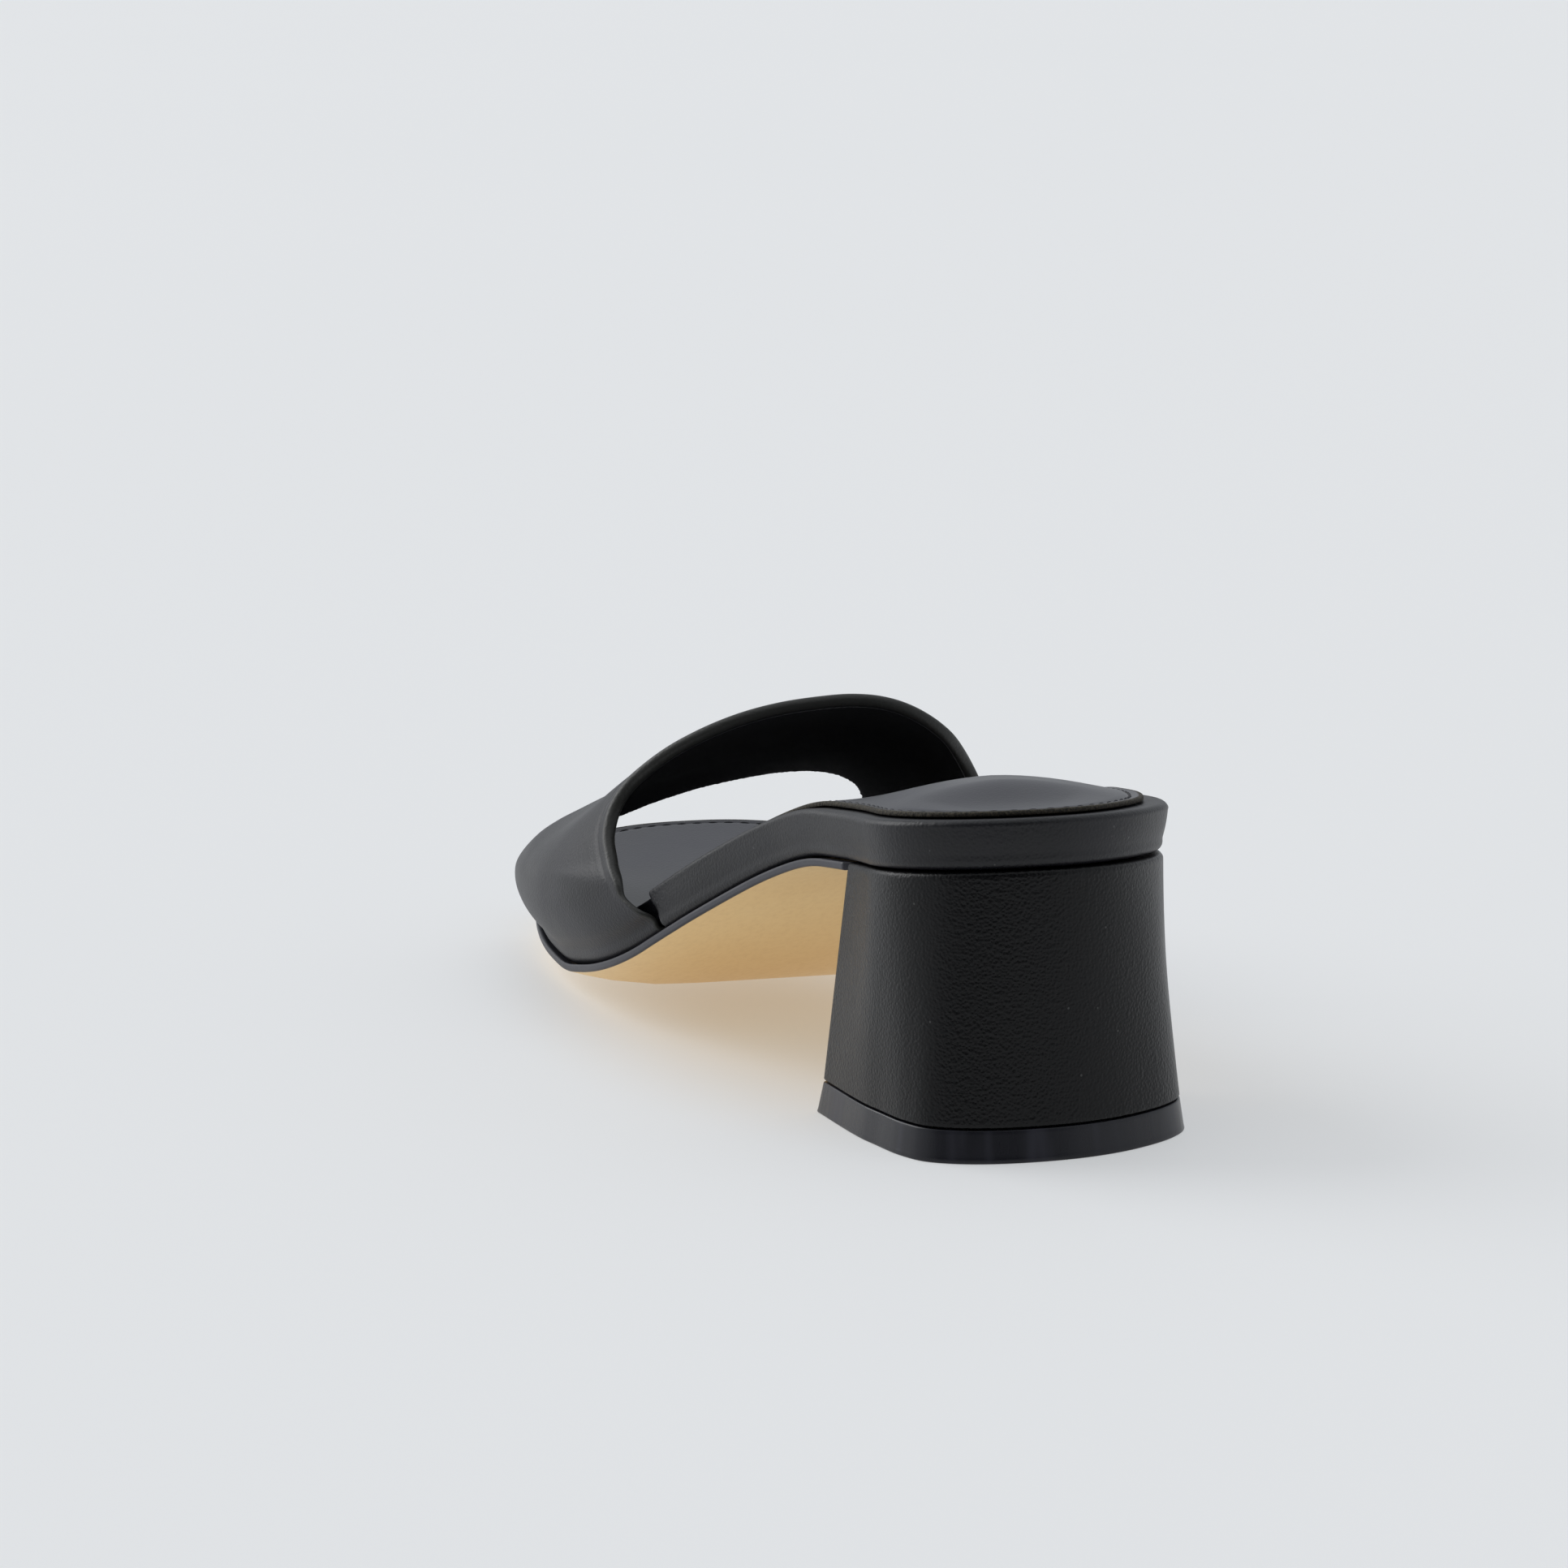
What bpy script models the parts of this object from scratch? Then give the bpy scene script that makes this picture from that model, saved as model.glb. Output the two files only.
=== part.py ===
"""A left dress sandal: open-toed mule with one broad strap, a wrapped platform, a leather sole and a block heel.

Axes: +X to the toe, +Y to the lateral side, +Z up. The origin lies on the floor under the middle of the heel.
Sizes are in millimetres and turned into metres when a mesh is made.
"""
import math
from collections import namedtuple

import bmesh
import bpy
import numpy as np

MM = 0.001

# Main sizes of the shoe
LENGTH = 239.0
BALL_WIDTH = 76.0
SEAT_RISE = 44.6
SEAT_TILT = math.radians(6.3)
INSTEP = 56.4
TOE_SPRING = 6.2
EDGE_RISE = 3.5
HEEL_CENTRE = 22.0
GAP = 0.3

# Stations along the shoe, from the back of the seat
SEAT_END = 51.0
BALL_START = 161.0
BALL_END = 173.0
BREAST = 44.0
HEEL_SEAT = 38.5
HEEL_INSET = 1.1
HEEL_SHIFT = 0.2

# Thicknesses and heights, measured from the bottom line of the sole
SOLE_THICK = 1.3
PLATFORM_THICK = 7.8
SOCK_THICK = 0.8
STRAP_THICK = 1.8
TOP_PIECE_THICK = 5.2
PLATFORM_BASE = SOLE_THICK + GAP
PLATFORM_TOP = PLATFORM_BASE + PLATFORM_THICK
STRAP_POCKET = SOLE_THICK + 2 * GAP + STRAP_THICK

# Platform edge, sock margin and heel pad
SIDE_LEAN = 1.0
SOCK_MARGIN = 3.3
PAD_CROWN = 3.6
PAD_LENGTH = 54.0
PAD_FALL = 22.0

# Strap ends
FLANGE = 8.5
BEND = 2.0
WALL_FULLNESS = 2.2
LATERAL_REAR = 107.0
LATERAL_FRONT = 207.0
MEDIAL_REAR = 113.0
MEDIAL_FRONT = 206.0
ZONE_REAR = 1.2
ZONE_FRONT = 3.5
EDGE_LEAN = 0.3

# Rounded ends of an outline: length of the rounding and its power
HEEL_ROUND = 25.0
HEEL_POWER = 2.2
TOE_ROUND = 15.0
TOE_POWER = 2.5

Plan = namedtuple("Plan", "station centre half")
# Outline of the platform's top: station as a share of LENGTH, the other two of BALL_WIDTH
PLATFORM_PLAN = [
    Plan(0.000, 0.048, 0.302),
    Plan(0.040, 0.027, 0.318),
    Plan(0.085, -0.007, 0.336),
    Plan(0.146, -0.047, 0.356),
    Plan(0.210, -0.057, 0.370),
    Plan(0.280, -0.055, 0.384),
    Plan(0.330, -0.044, 0.404),
    Plan(0.418, -0.013, 0.443),
    Plan(0.531, 0.012, 0.484),
    Plan(0.615, 0.000, 0.497),
    Plan(0.699, -0.013, 0.496),
    Plan(0.782, -0.028, 0.476),
    Plan(0.845, -0.042, 0.445),
    Plan(0.908, -0.062, 0.398),
    Plan(1.000, -0.115, 0.330),
]
# Outline of the heel's foot, station from the back of its own outline
HEEL_PLAN = [
    Plan(0.000, 0.050, 0.312),
    Plan(0.022, 0.028, 0.318),
    Plan(0.040, 0.003, 0.322),
    Plan(0.058, -0.014, 0.330),
    Plan(0.104, -0.020, 0.349),
    Plan(0.188, -0.026, 0.362),
]
HEEL_FOOT_BACK = -0.8
HEEL_FOOT_ROUND = 18.0

Arch = namedtuple("Arch", "station side rise lateral medial widest lateral_power medial_power")
# Strap sections from rear to front: station as a share of LENGTH, rises of INSTEP, sides of BALL_WIDTH
STRAP_ARCHES = [
    Arch(0.512, -0.088, 1.001, 0.509, 0.464, 0.454, 2.06, 1.88),
    Arch(0.594, -0.102, 0.887, 0.555, 0.500, 0.401, 1.61, 2.13),
    Arch(0.678, -0.142, 0.770, 0.554, 0.509, 0.334, 1.59, 2.24),
    Arch(0.753, -0.186, 0.670, 0.514, 0.507, 0.291, 1.71, 2.32),
    Arch(0.824, -0.230, 0.581, 0.435, 0.476, 0.249, 1.55, 2.68),
]

Sweep = namedtuple("Sweep", "place rear front")
# How far each place across the strap lies ahead of its arch, as shares of LENGTH; 0 lateral foot, 1 medial foot
STRAP_SWEEP = [
    Sweep(0.000, -0.028, 0.028),
    Sweep(0.070, 0.019, 0.023),
    Sweep(0.130, 0.034, 0.017),
    Sweep(0.220, 0.029, -0.003),
    Sweep(0.320, 0.017, -0.006),
    Sweep(0.500, -0.002, -0.014),
    Sweep(0.700, 0.001, -0.009),
    Sweep(0.850, 0.025, 0.010),
    Sweep(1.000, 0.005, 0.023),
]


CROSS_SHARES = (0.88, 0.76, 0.64, 0.52, 0.38, 0.0, -0.38, -0.52, -0.64, -0.76, -0.88)


def smooth(rows, key, column, at):
    """Reads one column of a table at the given places, with a smooth curve through its rows."""
    xs = np.array([getattr(row, key) for row in rows])
    ys = np.array([getattr(row, column) for row in rows])
    slopes = np.gradient(ys, xs)
    at = np.clip(np.asarray(at, float), xs[0], xs[-1])
    i = np.clip(np.searchsorted(xs, at) - 1, 0, len(xs) - 2)
    width = xs[i + 1] - xs[i]
    u = (at - xs[i]) / width
    start = (2 * u**3 - 3 * u**2 + 1) * ys[i] + (u**3 - 2 * u**2 + u) * width * slopes[i]
    end = (3 * u**2 - 2 * u**3) * ys[i + 1] + (u**3 - u**2) * width * slopes[i + 1]
    return start + end


def ease(value, start, end):
    """Goes softly from 0 at start to 1 at end."""
    u = np.clip((np.asarray(value, float) - start) / (end - start), 0.0, 1.0)
    return u * u * (3 - 2 * u)


def sole_height(station):
    """Height of the sole's bottom line above the floor: tilted seat, arch, flat ball, toe spring."""
    s = np.asarray(station, float)
    seat = SEAT_RISE - math.tan(SEAT_TILT) * np.minimum(s, SEAT_END)
    run = BALL_START - SEAT_END
    u = np.clip((s - SEAT_END) / run, 0.0, 1.0)
    fall = (2 * u**3 - 3 * u**2 + 1) * seat
    fall = fall - (u**3 - 2 * u**2 + u) * run * math.tan(SEAT_TILT)
    spring = np.clip((s - BALL_END) / (LENGTH - BALL_END), 0.0, None) ** 1.5 * TOE_SPRING
    return np.where(s < SEAT_END, seat, fall) + spring


def end_share(station, back, front, back_round, back_power, front_round=0.0, front_power=2.0):
    """Share of the full width left by the rounded ends of an outline."""
    near = np.clip((back + back_round - station) / back_round, 0.0, 1.0)
    share = (1 - near**back_power) ** (1 / back_power)
    if front_round:
        far = np.clip((station - front + front_round) / front_round, 0.0, 1.0)
        share = share * (1 - far**front_power) ** (1 / front_power)
    return share


def platform_plan(station):
    """Centre line and unrounded half width of the platform's top outline."""
    s = np.asarray(station, float) / LENGTH
    centre = smooth(PLATFORM_PLAN, "station", "centre", s) * BALL_WIDTH
    return centre, smooth(PLATFORM_PLAN, "station", "half", s) * BALL_WIDTH


def platform_sides(station):
    """Lateral and medial edge of the platform's top outline."""
    centre, half = platform_plan(station)
    share = end_share(np.asarray(station, float), 0.0, LENGTH, HEEL_ROUND, HEEL_POWER, TOE_ROUND, TOE_POWER)
    return centre + half * share, centre - half * share


def edge_rise(station, side):
    """How far the forefoot of the sole curves up at a side; its middle part stays flat."""
    centre, half = platform_plan(station)
    out = np.clip((np.abs(side - centre) / half - 0.45) / 0.55, 0.0, 1.2)
    return EDGE_RISE * out**2 * ease(station, 112.0, 150.0) * (1 - 0.8 * ease(station, 195.0, LENGTH))


def place(station, side, height):
    """Point at a height above the sole's bottom line, square to that line."""
    s, y, h = np.broadcast_arrays(np.asarray(station, float), side, height)
    slope = (sole_height(s + 0.05) - sole_height(s - 0.05)) / 0.1
    length = np.sqrt(1 + slope**2)
    z = sole_height(s) + edge_rise(s, y) + h / length
    return np.stack([s - HEEL_CENTRE - h * slope / length, y, z], axis=-1)


def inset_sides(station, inset):
    """Stations and sides of the platform's outline drawn in by an inset all round."""
    s = np.asarray(station, float)
    lateral, medial = platform_sides(s)
    centre, half = (lateral + medial) / 2, (lateral - medial) / 2
    half = half * (1 - inset / platform_plan(s)[1])
    return s + inset * (1 - 2 * s / LENGTH), centre + half, centre - half


def side_lean(station):
    """How far the platform's side leans in at its bottom edge."""
    return SIDE_LEAN - (SIDE_LEAN - 0.3) * ease(station, 88.0, 112.0)


def strap_zone(station, rear, front):
    """1 where the strap covers the platform's side, 0 elsewhere."""
    return ease(station, rear - ZONE_REAR, rear) * (1 - ease(station, front, front + ZONE_FRONT))


def zone_start(rear, height):
    """Where the strap starts to cover the platform's side at a height; its edge leans forward as it rises."""
    return rear + max(0.0, height - 3.0) * EDGE_LEAN


def stations(start, end, count, extra=()):
    """Stations for a loft, closer together in the rounded ends, with extra ones where they are needed."""
    points = list(np.linspace(start, end, count))
    if start < 1.0:
        points += [HEEL_ROUND * (1 - math.cos(a)) for a in np.linspace(0.14, math.pi / 2, 12)]
        points = [p for p in points if p == HEEL_ROUND or not 0.0 <= p < 0.2]
    if end > LENGTH - 1.0:
        points += [LENGTH - TOE_ROUND * (1 - math.cos(a)) for a in np.linspace(0.16, math.pi / 2, 9)]
        points = [p for p in points if p <= LENGTH - 0.18]
    points = sorted(points + list(extra))
    kept = [points[0]]
    for point in points[1:]:
        if point - kept[-1] > 0.04:
            kept.append(point)
    return np.array(kept)


def mesh_object(name, verts, faces, material, collection):
    """Makes a mesh object from points in millimetres and gives it outward normals."""
    mesh = bpy.data.meshes.new(name)
    mesh.from_pydata([tuple(v * MM for v in vert) for vert in verts], [], faces)
    work = bmesh.new()
    work.from_mesh(mesh)
    bmesh.ops.remove_doubles(work, verts=work.verts, dist=1e-6)
    bmesh.ops.recalc_face_normals(work, faces=work.faces)
    work.to_mesh(mesh)
    work.free()
    obj = bpy.data.objects.new(name, mesh)
    mesh.materials.append(material)
    collection.objects.link(obj)
    mesh.shade_smooth()
    return obj


def loft(name, rings, material, collection, top=None, bottom=None):
    """Closes a stack of rings into a solid. A ring is (lateral points, medial points) from heel to toe; top and
    bottom are rows of points across the solid, edge to edge, one row per station."""
    verts, faces = [], []

    def add(point):
        verts.append(point)
        return len(verts) - 1

    levels = [([add(p) for p in lateral], [add(p) for p in medial]) for lateral, medial in rings]
    count = len(levels[0][0])

    def cover_rows(grid, level):
        lateral, medial = level
        if grid is None:
            return [[lateral[i], medial[i]] for i in range(count)]
        return [[lateral[i]] + [add(p) for p in grid[i]] + [medial[i]] for i in range(count)]

    low = cover_rows(bottom, levels[0])
    high = cover_rows(top, levels[-1])
    for cover in (low, high):
        for i in range(count - 1):
            for j in range(len(cover[0]) - 1):
                faces.append((cover[i][j], cover[i][j + 1], cover[i + 1][j + 1], cover[i + 1][j]))
    for below, above in zip(levels, levels[1:]):
        for side in (0, 1):
            for i in range(count - 1):
                faces.append((below[side][i], below[side][i + 1], above[side][i + 1], above[side][i]))
        for i in (0, count - 1):
            lower = low[i] if below is levels[0] else [below[0][i], below[1][i]]
            upper = high[i] if above is levels[-1] else [above[0][i], above[1][i]]
            faces.append(tuple(lower + upper[::-1]))
    return mesh_object(name, verts, faces, material, collection)


def material(name, colour, roughness, metallic=0.0):
    """Plain material with the colour, roughness and metallic of one piece."""
    made = bpy.data.materials.new(name)
    made.use_nodes = True
    shader = made.node_tree.nodes["Principled BSDF"]
    shader.inputs["Base Color"].default_value = (*colour, 1.0)
    shader.inputs["Roughness"].default_value = roughness
    shader.inputs["Metallic"].default_value = metallic
    made.diffuse_color = (*colour, 1.0)
    return made


def ring(station, inset, height, narrow=0.0):
    """Ring of the platform family: drawn in by an inset, narrowed more under the strap, at a height."""
    s, lateral, medial = inset_sides(station, inset)
    lateral = lateral - narrow * strap_zone(station, zone_start(LATERAL_REAR, height), LATERAL_FRONT)
    medial = medial + narrow * strap_zone(station, MEDIAL_REAR, MEDIAL_FRONT)
    return place(s, lateral, height), place(s, medial, height)


def across(edges, shares, station, height):
    """Rows of points from the lateral to the medial edge of a ring, each a share of its half width."""
    lateral, medial = edges[0][:, 1], edges[1][:, 1]
    side = (lateral + medial)[:, None] / 2 + (lateral - medial)[:, None] / 2 * np.array(shares)
    return place(station[:, None], side, height)


def build_outsole(collection):
    """Leather sole from the heel's breast to the toe."""
    s = stations(HEEL_SEAT + 1.0, LENGTH, 44)
    lean = side_lean(s)
    rings = [
        ring(s, lean + 0.5, 0.0),
        ring(s, lean, 0.4),
        ring(s, lean, SOLE_THICK),
    ]
    bottom = across(rings[0], CROSS_SHARES, inset_sides(s, lean + 0.5)[0], 0.0)
    top = across(rings[-1], CROSS_SHARES, inset_sides(s, lean)[0], SOLE_THICK)
    return loft("outsole", rings, material("sole_leather", (0.64, 0.44, 0.22), 0.42), collection, top, bottom)


def build_platform(collection):
    """Wrapped platform with pockets along its bottom edges for the turned-in ends of the strap."""
    rears = [rear - ZONE_REAR * part for rear in (LATERAL_REAR, MEDIAL_REAR) for part in (1.2, 0.7, 0.2)]
    fronts = [front + ZONE_FRONT * part for front in (LATERAL_FRONT, MEDIAL_FRONT) for part in (0.2, 0.6, 1.1)]
    s = stations(0.2, LENGTH, 52, rears + fronts)
    lean = side_lean(s)
    narrow = STRAP_THICK + 2 * GAP
    lateral_raise = strap_zone(s, LATERAL_REAR - 0.5, LATERAL_FRONT + 0.5) * (STRAP_POCKET - PLATFORM_BASE)
    medial_raise = strap_zone(s, MEDIAL_REAR - 0.5, MEDIAL_FRONT + 0.5) * (STRAP_POCKET - PLATFORM_BASE)

    def level(inset, height, share):
        station, lateral, medial = inset_sides(s, inset)
        lateral = lateral - narrow * strap_zone(s, zone_start(LATERAL_REAR, height), LATERAL_FRONT)
        medial = medial + narrow * strap_zone(s, MEDIAL_REAR, MEDIAL_FRONT)
        lateral_points = place(station, lateral, height + share * lateral_raise)
        return lateral_points, place(station, medial, height + share * medial_raise)

    rings = [
        level(lean + 0.6, PLATFORM_BASE, 1.0),
        level(lean, PLATFORM_BASE + 0.7, 1.0),
        level(lean * 0.15, PLATFORM_TOP - 1.6, 0.0),
        level(0.2, PLATFORM_TOP - 0.7, 0.0),
        level(0.8, PLATFORM_TOP - 0.15, 0.0),
        level(1.6, PLATFORM_TOP, 0.0),
    ]
    station, lateral, medial = inset_sides(s, lean + 0.6)
    half = (lateral - medial) / 2
    reach = np.minimum(FLANGE + 0.6, half * 0.6)
    columns = [(lateral - reach * part, PLATFORM_BASE + lateral_raise) for part in (0.35, 0.7, 1.0)]
    inner = half - reach - 0.1
    middle = (lateral + medial) / 2
    columns += [(middle + inner * part, PLATFORM_BASE) for part in (1.0, 0.8, 0.6, 0.0, -0.6, -0.8, -1.0)]
    columns += [(medial + reach * part, PLATFORM_BASE + medial_raise) for part in (1.0, 0.7, 0.35)]
    bottom = np.stack([place(station, y, h) for y, h in columns], axis=1)
    top = across(rings[-1], CROSS_SHARES, inset_sides(s, 1.6)[0], PLATFORM_TOP)
    leather = material("platform_leather", (0.018, 0.018, 0.020), 0.46)
    return loft("platform", rings, leather, collection, top, bottom)


def pad_height(station, share):
    """Crown of the padded sock over the heel, falling away to the waist and to the sock's edge."""
    along = ease(station, 0.0, 20.0) * (1 - ease(station, PAD_LENGTH - PAD_FALL, PAD_LENGTH))
    return PAD_CROWN * along * np.clip(1 - np.abs(share) ** 1.75, 0.0, 1.0)


def build_sock(collection):
    """Padded sock on the platform, with the crown of the heel pad."""
    s = stations(0.2, LENGTH, 46)
    base = PLATFORM_TOP + GAP
    narrow = STRAP_THICK + 2 * GAP
    rings = [ring(s, SOCK_MARGIN, base, narrow), ring(s, SOCK_MARGIN, base + SOCK_THICK, narrow)]
    station = inset_sides(s, SOCK_MARGIN)[0]
    height = base + SOCK_THICK + pad_height(s[:, None], np.array(CROSS_SHARES))
    top = across(rings[1], CROSS_SHARES, station, height)
    bottom = across(rings[0], CROSS_SHARES, station, base)
    return loft("sock", rings, material("sock_leather", (0.045, 0.045, 0.048), 0.38), collection, top, bottom)


def heel_sides(station):
    """Lateral and medial edge of the heel's foot."""
    s = np.asarray(station, float)
    centre = smooth(HEEL_PLAN, "station", "centre", (s - HEEL_FOOT_BACK) / LENGTH) * BALL_WIDTH
    half = smooth(HEEL_PLAN, "station", "half", (s - HEEL_FOOT_BACK) / LENGTH) * BALL_WIDTH
    share = end_share(s, HEEL_FOOT_BACK, LENGTH, HEEL_FOOT_ROUND, HEEL_POWER)
    return centre + half * share, centre - half * share


def heel_foot_ring(turns, height, inset=0.0):
    """Ring of the heel's foot at a height above the floor, for shares 0 (back) to 1 (breast)."""
    s = HEEL_FOOT_BACK + turns * (BREAST + 1.0 - HEEL_FOOT_BACK)
    lateral, medial = heel_sides(s)
    middle = (lateral + medial) / 2
    half = (lateral - medial) / 2
    half = half * (1 - inset / (0.34 * BALL_WIDTH))
    x = s - HEEL_CENTRE + inset * (1 - 2 * turns)
    z = np.full_like(x, height)
    return np.stack([x, middle + half, z], axis=-1), np.stack([x, middle - half, z], axis=-1)


def heel_turns():
    """Shares along the heel from back to breast, closer together round the back."""
    back = HEEL_FOOT_ROUND / (BREAST + 1.0 - HEEL_FOOT_BACK)
    bend = back * (1 - np.cos(np.linspace(0.16, math.pi / 2, 14)))
    return np.concatenate([bend, np.linspace(back, 1.0, 6)[1:]])


def build_heel_block(collection):
    """Covered block heel, from the platform's underside down to the top piece."""
    turns = heel_turns()
    s, lateral, medial = inset_sides(turns * HEEL_SEAT, HEEL_INSET)
    top = place(s, lateral - HEEL_SHIFT, SOLE_THICK), place(s, medial - HEEL_SHIFT, SOLE_THICK)
    foot = heel_foot_ring(turns, TOP_PIECE_THICK + GAP, 0.8)
    rings = []
    for u in (0.0, 0.14, 0.3, 0.46, 0.62, 0.76, 0.88, 1.0):
        blended = []
        for low, high in zip(foot, top):
            blended.append(low * (1 - u) + high * u)
        rings.append(tuple(blended))
    return loft("heel_block", rings, material("heel_leather", (0.017, 0.017, 0.019), 0.45), collection)


def build_top_piece(collection):
    """Walking face of the heel."""
    turns = heel_turns()
    rings = [
        heel_foot_ring(turns, 0.0, 0.25),
        heel_foot_ring(turns, 0.3, 0.0),
        heel_foot_ring(turns, TOP_PIECE_THICK, 0.8),
    ]
    return loft("top_piece", rings, material("top_piece_plastic", (0.016, 0.016, 0.018), 0.34), collection)


def strap_arch(share):
    """Outer line of the strap at a share of its depth (0 rear, 1 front), lateral foot to medial foot."""
    last = len(STRAP_ARCHES) - 1
    tables = [namedtuple("Row", ("step",) + Arch._fields)(i / last, *arch) for i, arch in enumerate(STRAP_ARCHES)]

    def read(column):
        return float(smooth(tables, "step", column, share))

    x = read("station") * LENGTH - HEEL_CENTRE
    apex, top = read("side") * BALL_WIDTH, read("rise") * INSTEP
    low = read("widest") * INSTEP
    lateral, medial = read("lateral") * BALL_WIDTH, -read("medial") * BALL_WIDTH
    points = []
    for turn in np.linspace(0.0, 1.0, 13):
        c, s = math.cos(turn * math.pi / 2), math.sin(turn * math.pi / 2)
        power = 2 / read("lateral_power")
        points.append((0.5 * turn, apex + (lateral - apex) * c**power, low + (top - low) * s**power))
    for turn in np.linspace(1.0, 0.0, 12)[1:]:
        c, s = math.cos(turn * math.pi / 2), math.sin(turn * math.pi / 2)
        power = 2 / read("medial_power")
        points.append((1.0 - 0.5 * turn, apex + (medial - apex) * c**power, low + (top - low) * s**power))
    line = []
    for at, y, z in points:
        rear = float(smooth(STRAP_SWEEP, "place", "rear", at))
        front = float(smooth(STRAP_SWEEP, "place", "front", at))
        line.append((x + (rear * (1 - share) + front * share) * LENGTH, y, z))
    return np.array(line)


def strap_foot(station, side):
    """Turned-in end of the strap at one station, from the flange's inner edge out and up the side."""
    lateral, medial = platform_sides(station)
    edge = float(lateral if side > 0 else medial) - side * 0.5
    low = SOLE_THICK + GAP
    steps = [(FLANGE, 0.0), (FLANGE * 0.6, 0.0), (BEND, 0.0)]
    steps += [(BEND * (1 - math.sin(a)), BEND * (1 - math.cos(a))) for a in (0.5, 1.05, math.pi / 2)]
    return np.array([place(station, edge - side * inward, low + up) for inward, up in steps])


def wall(foot, widest):
    """Points between the top of a strap foot and the widest place of the strap above it."""
    rise = np.array([0.0, 0.0, widest[2] - foot[2]])
    leave = rise + np.array([0.0, WALL_FULLNESS * (widest[1] - foot[1]), 0.0])
    points = []
    for u in (0.25, 0.5, 0.75):
        start = (2 * u**3 - 3 * u**2 + 1) * foot + (u**3 - 2 * u**2 + u) * leave
        end = (3 * u**2 - 2 * u**3) * widest + (u**3 - u**2) * rise
        points.append(start + end)
    return np.array(points)


def build_strap(collection):
    """Broad strap over the forefoot, one hollow shell with its ends turned in under the platform."""
    rows = []
    for share in np.linspace(0.0, 1.0, 15):
        arch = strap_arch(share)
        lateral = strap_foot(LATERAL_REAR + (LATERAL_FRONT - LATERAL_REAR) * share, 1)
        medial = strap_foot(MEDIAL_REAR + (MEDIAL_FRONT - MEDIAL_REAR) * share, -1)
        parts = [lateral, wall(lateral[-1], arch[0]), arch, wall(medial[-1], arch[-1])[::-1], medial[::-1]]
        rows.append(np.concatenate(parts))
    columns = len(rows[0])
    verts = np.concatenate(rows)
    faces = []
    for i in range(len(rows) - 1):
        for j in range(columns - 1):
            k = i * columns + j
            faces.append((k, k + 1, k + columns + 1, k + columns))
    obj = mesh_object("strap", verts, faces, material("strap_leather", (0.022, 0.022, 0.024), 0.40), collection)
    shell = obj.modifiers.new("wall", "SOLIDIFY")
    shell.thickness = STRAP_THICK * MM
    shell.offset = -1.0
    shell.use_even_offset = True
    return obj


def main():
    for obj in list(bpy.data.objects):
        bpy.data.objects.remove(obj)
    shoe = bpy.data.collections.new("dress_sandal")
    bpy.context.scene.collection.children.link(shoe)
    build_outsole(shoe)
    build_platform(shoe)
    build_sock(shoe)
    build_heel_block(shoe)
    build_top_piece(shoe)
    build_strap(shoe)


main()
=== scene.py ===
# %% [markdown]
# # A dress sandal, dressed for its picture
# The solids of the shoe come from the CAD model: platform, sock, heel, top piece, leather sole and strap.
# Solids have the right form and hardly any surface, so this lesson gives each of them its leather, plastic or
# suede, its soft edges, folds, creases and stitches. Every new piece rides on the one body, "root".
# %% Load the frame
import math
from collections import namedtuple

import bpy
import numpy as np
from mathutils import Matrix, Vector, noise


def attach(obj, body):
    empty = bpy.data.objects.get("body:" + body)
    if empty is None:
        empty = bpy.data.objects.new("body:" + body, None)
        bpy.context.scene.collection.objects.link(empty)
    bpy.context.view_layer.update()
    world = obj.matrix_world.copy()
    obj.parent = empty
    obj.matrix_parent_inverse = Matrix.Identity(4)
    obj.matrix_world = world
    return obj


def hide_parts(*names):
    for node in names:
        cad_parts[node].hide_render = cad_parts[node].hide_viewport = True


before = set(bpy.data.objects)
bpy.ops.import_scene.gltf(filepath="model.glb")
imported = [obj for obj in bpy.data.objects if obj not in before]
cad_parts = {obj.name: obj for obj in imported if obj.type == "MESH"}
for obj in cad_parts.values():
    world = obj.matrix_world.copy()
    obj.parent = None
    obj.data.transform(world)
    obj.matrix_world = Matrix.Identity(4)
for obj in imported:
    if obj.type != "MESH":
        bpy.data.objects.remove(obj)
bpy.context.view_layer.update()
print("CAD nodes:", sorted(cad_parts))

# %% [markdown]
# A shoemaker works from the last: its length, the width at the ball, the instep and the height of the seat.
# The same named sizes are used here, in millimetres, so each cover lies exactly where its solid is.
# %% Sizes of the shoe
MM = 0.001
LENGTH = 239.0
BALL_WIDTH = 76.0
SEAT_RISE = 44.6
SEAT_TILT = math.radians(6.3)
INSTEP = 56.4
TOE_SPRING = 6.2
EDGE_RISE = 3.5
HEEL_CENTRE = 22.0
GAP = 0.3
SEAT_END = 51.0
BALL_START = 161.0
BALL_END = 173.0
BREAST = 44.0
HEEL_SEAT = 38.5
HEEL_INSET = 1.1
HEEL_SHIFT = 0.2
SOLE_THICK = 1.3
PLATFORM_THICK = 7.8
SOCK_THICK = 0.8
STRAP_THICK = 1.8
TOP_PIECE_THICK = 5.2
PLATFORM_BASE = SOLE_THICK + GAP
PLATFORM_TOP = PLATFORM_BASE + PLATFORM_THICK
STRAP_POCKET = SOLE_THICK + 2 * GAP + STRAP_THICK
DRAWN_IN = STRAP_THICK + 2 * GAP
SIDE_LEAN = 1.0
SOCK_MARGIN = 3.3
PAD_CROWN = 3.6
PAD_LENGTH = 54.0
PAD_FALL = 22.0
FLANGE = 8.5
BEND = 2.0
WALL_FULLNESS = 2.2
LATERAL_REAR = 107.0
LATERAL_FRONT = 207.0
MEDIAL_REAR = 113.0
MEDIAL_FRONT = 206.0
ZONE_REAR = 1.2
ZONE_FRONT = 3.5
EDGE_LEAN = 0.3
HEEL_ROUND = 25.0
HEEL_POWER = 2.2
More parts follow.
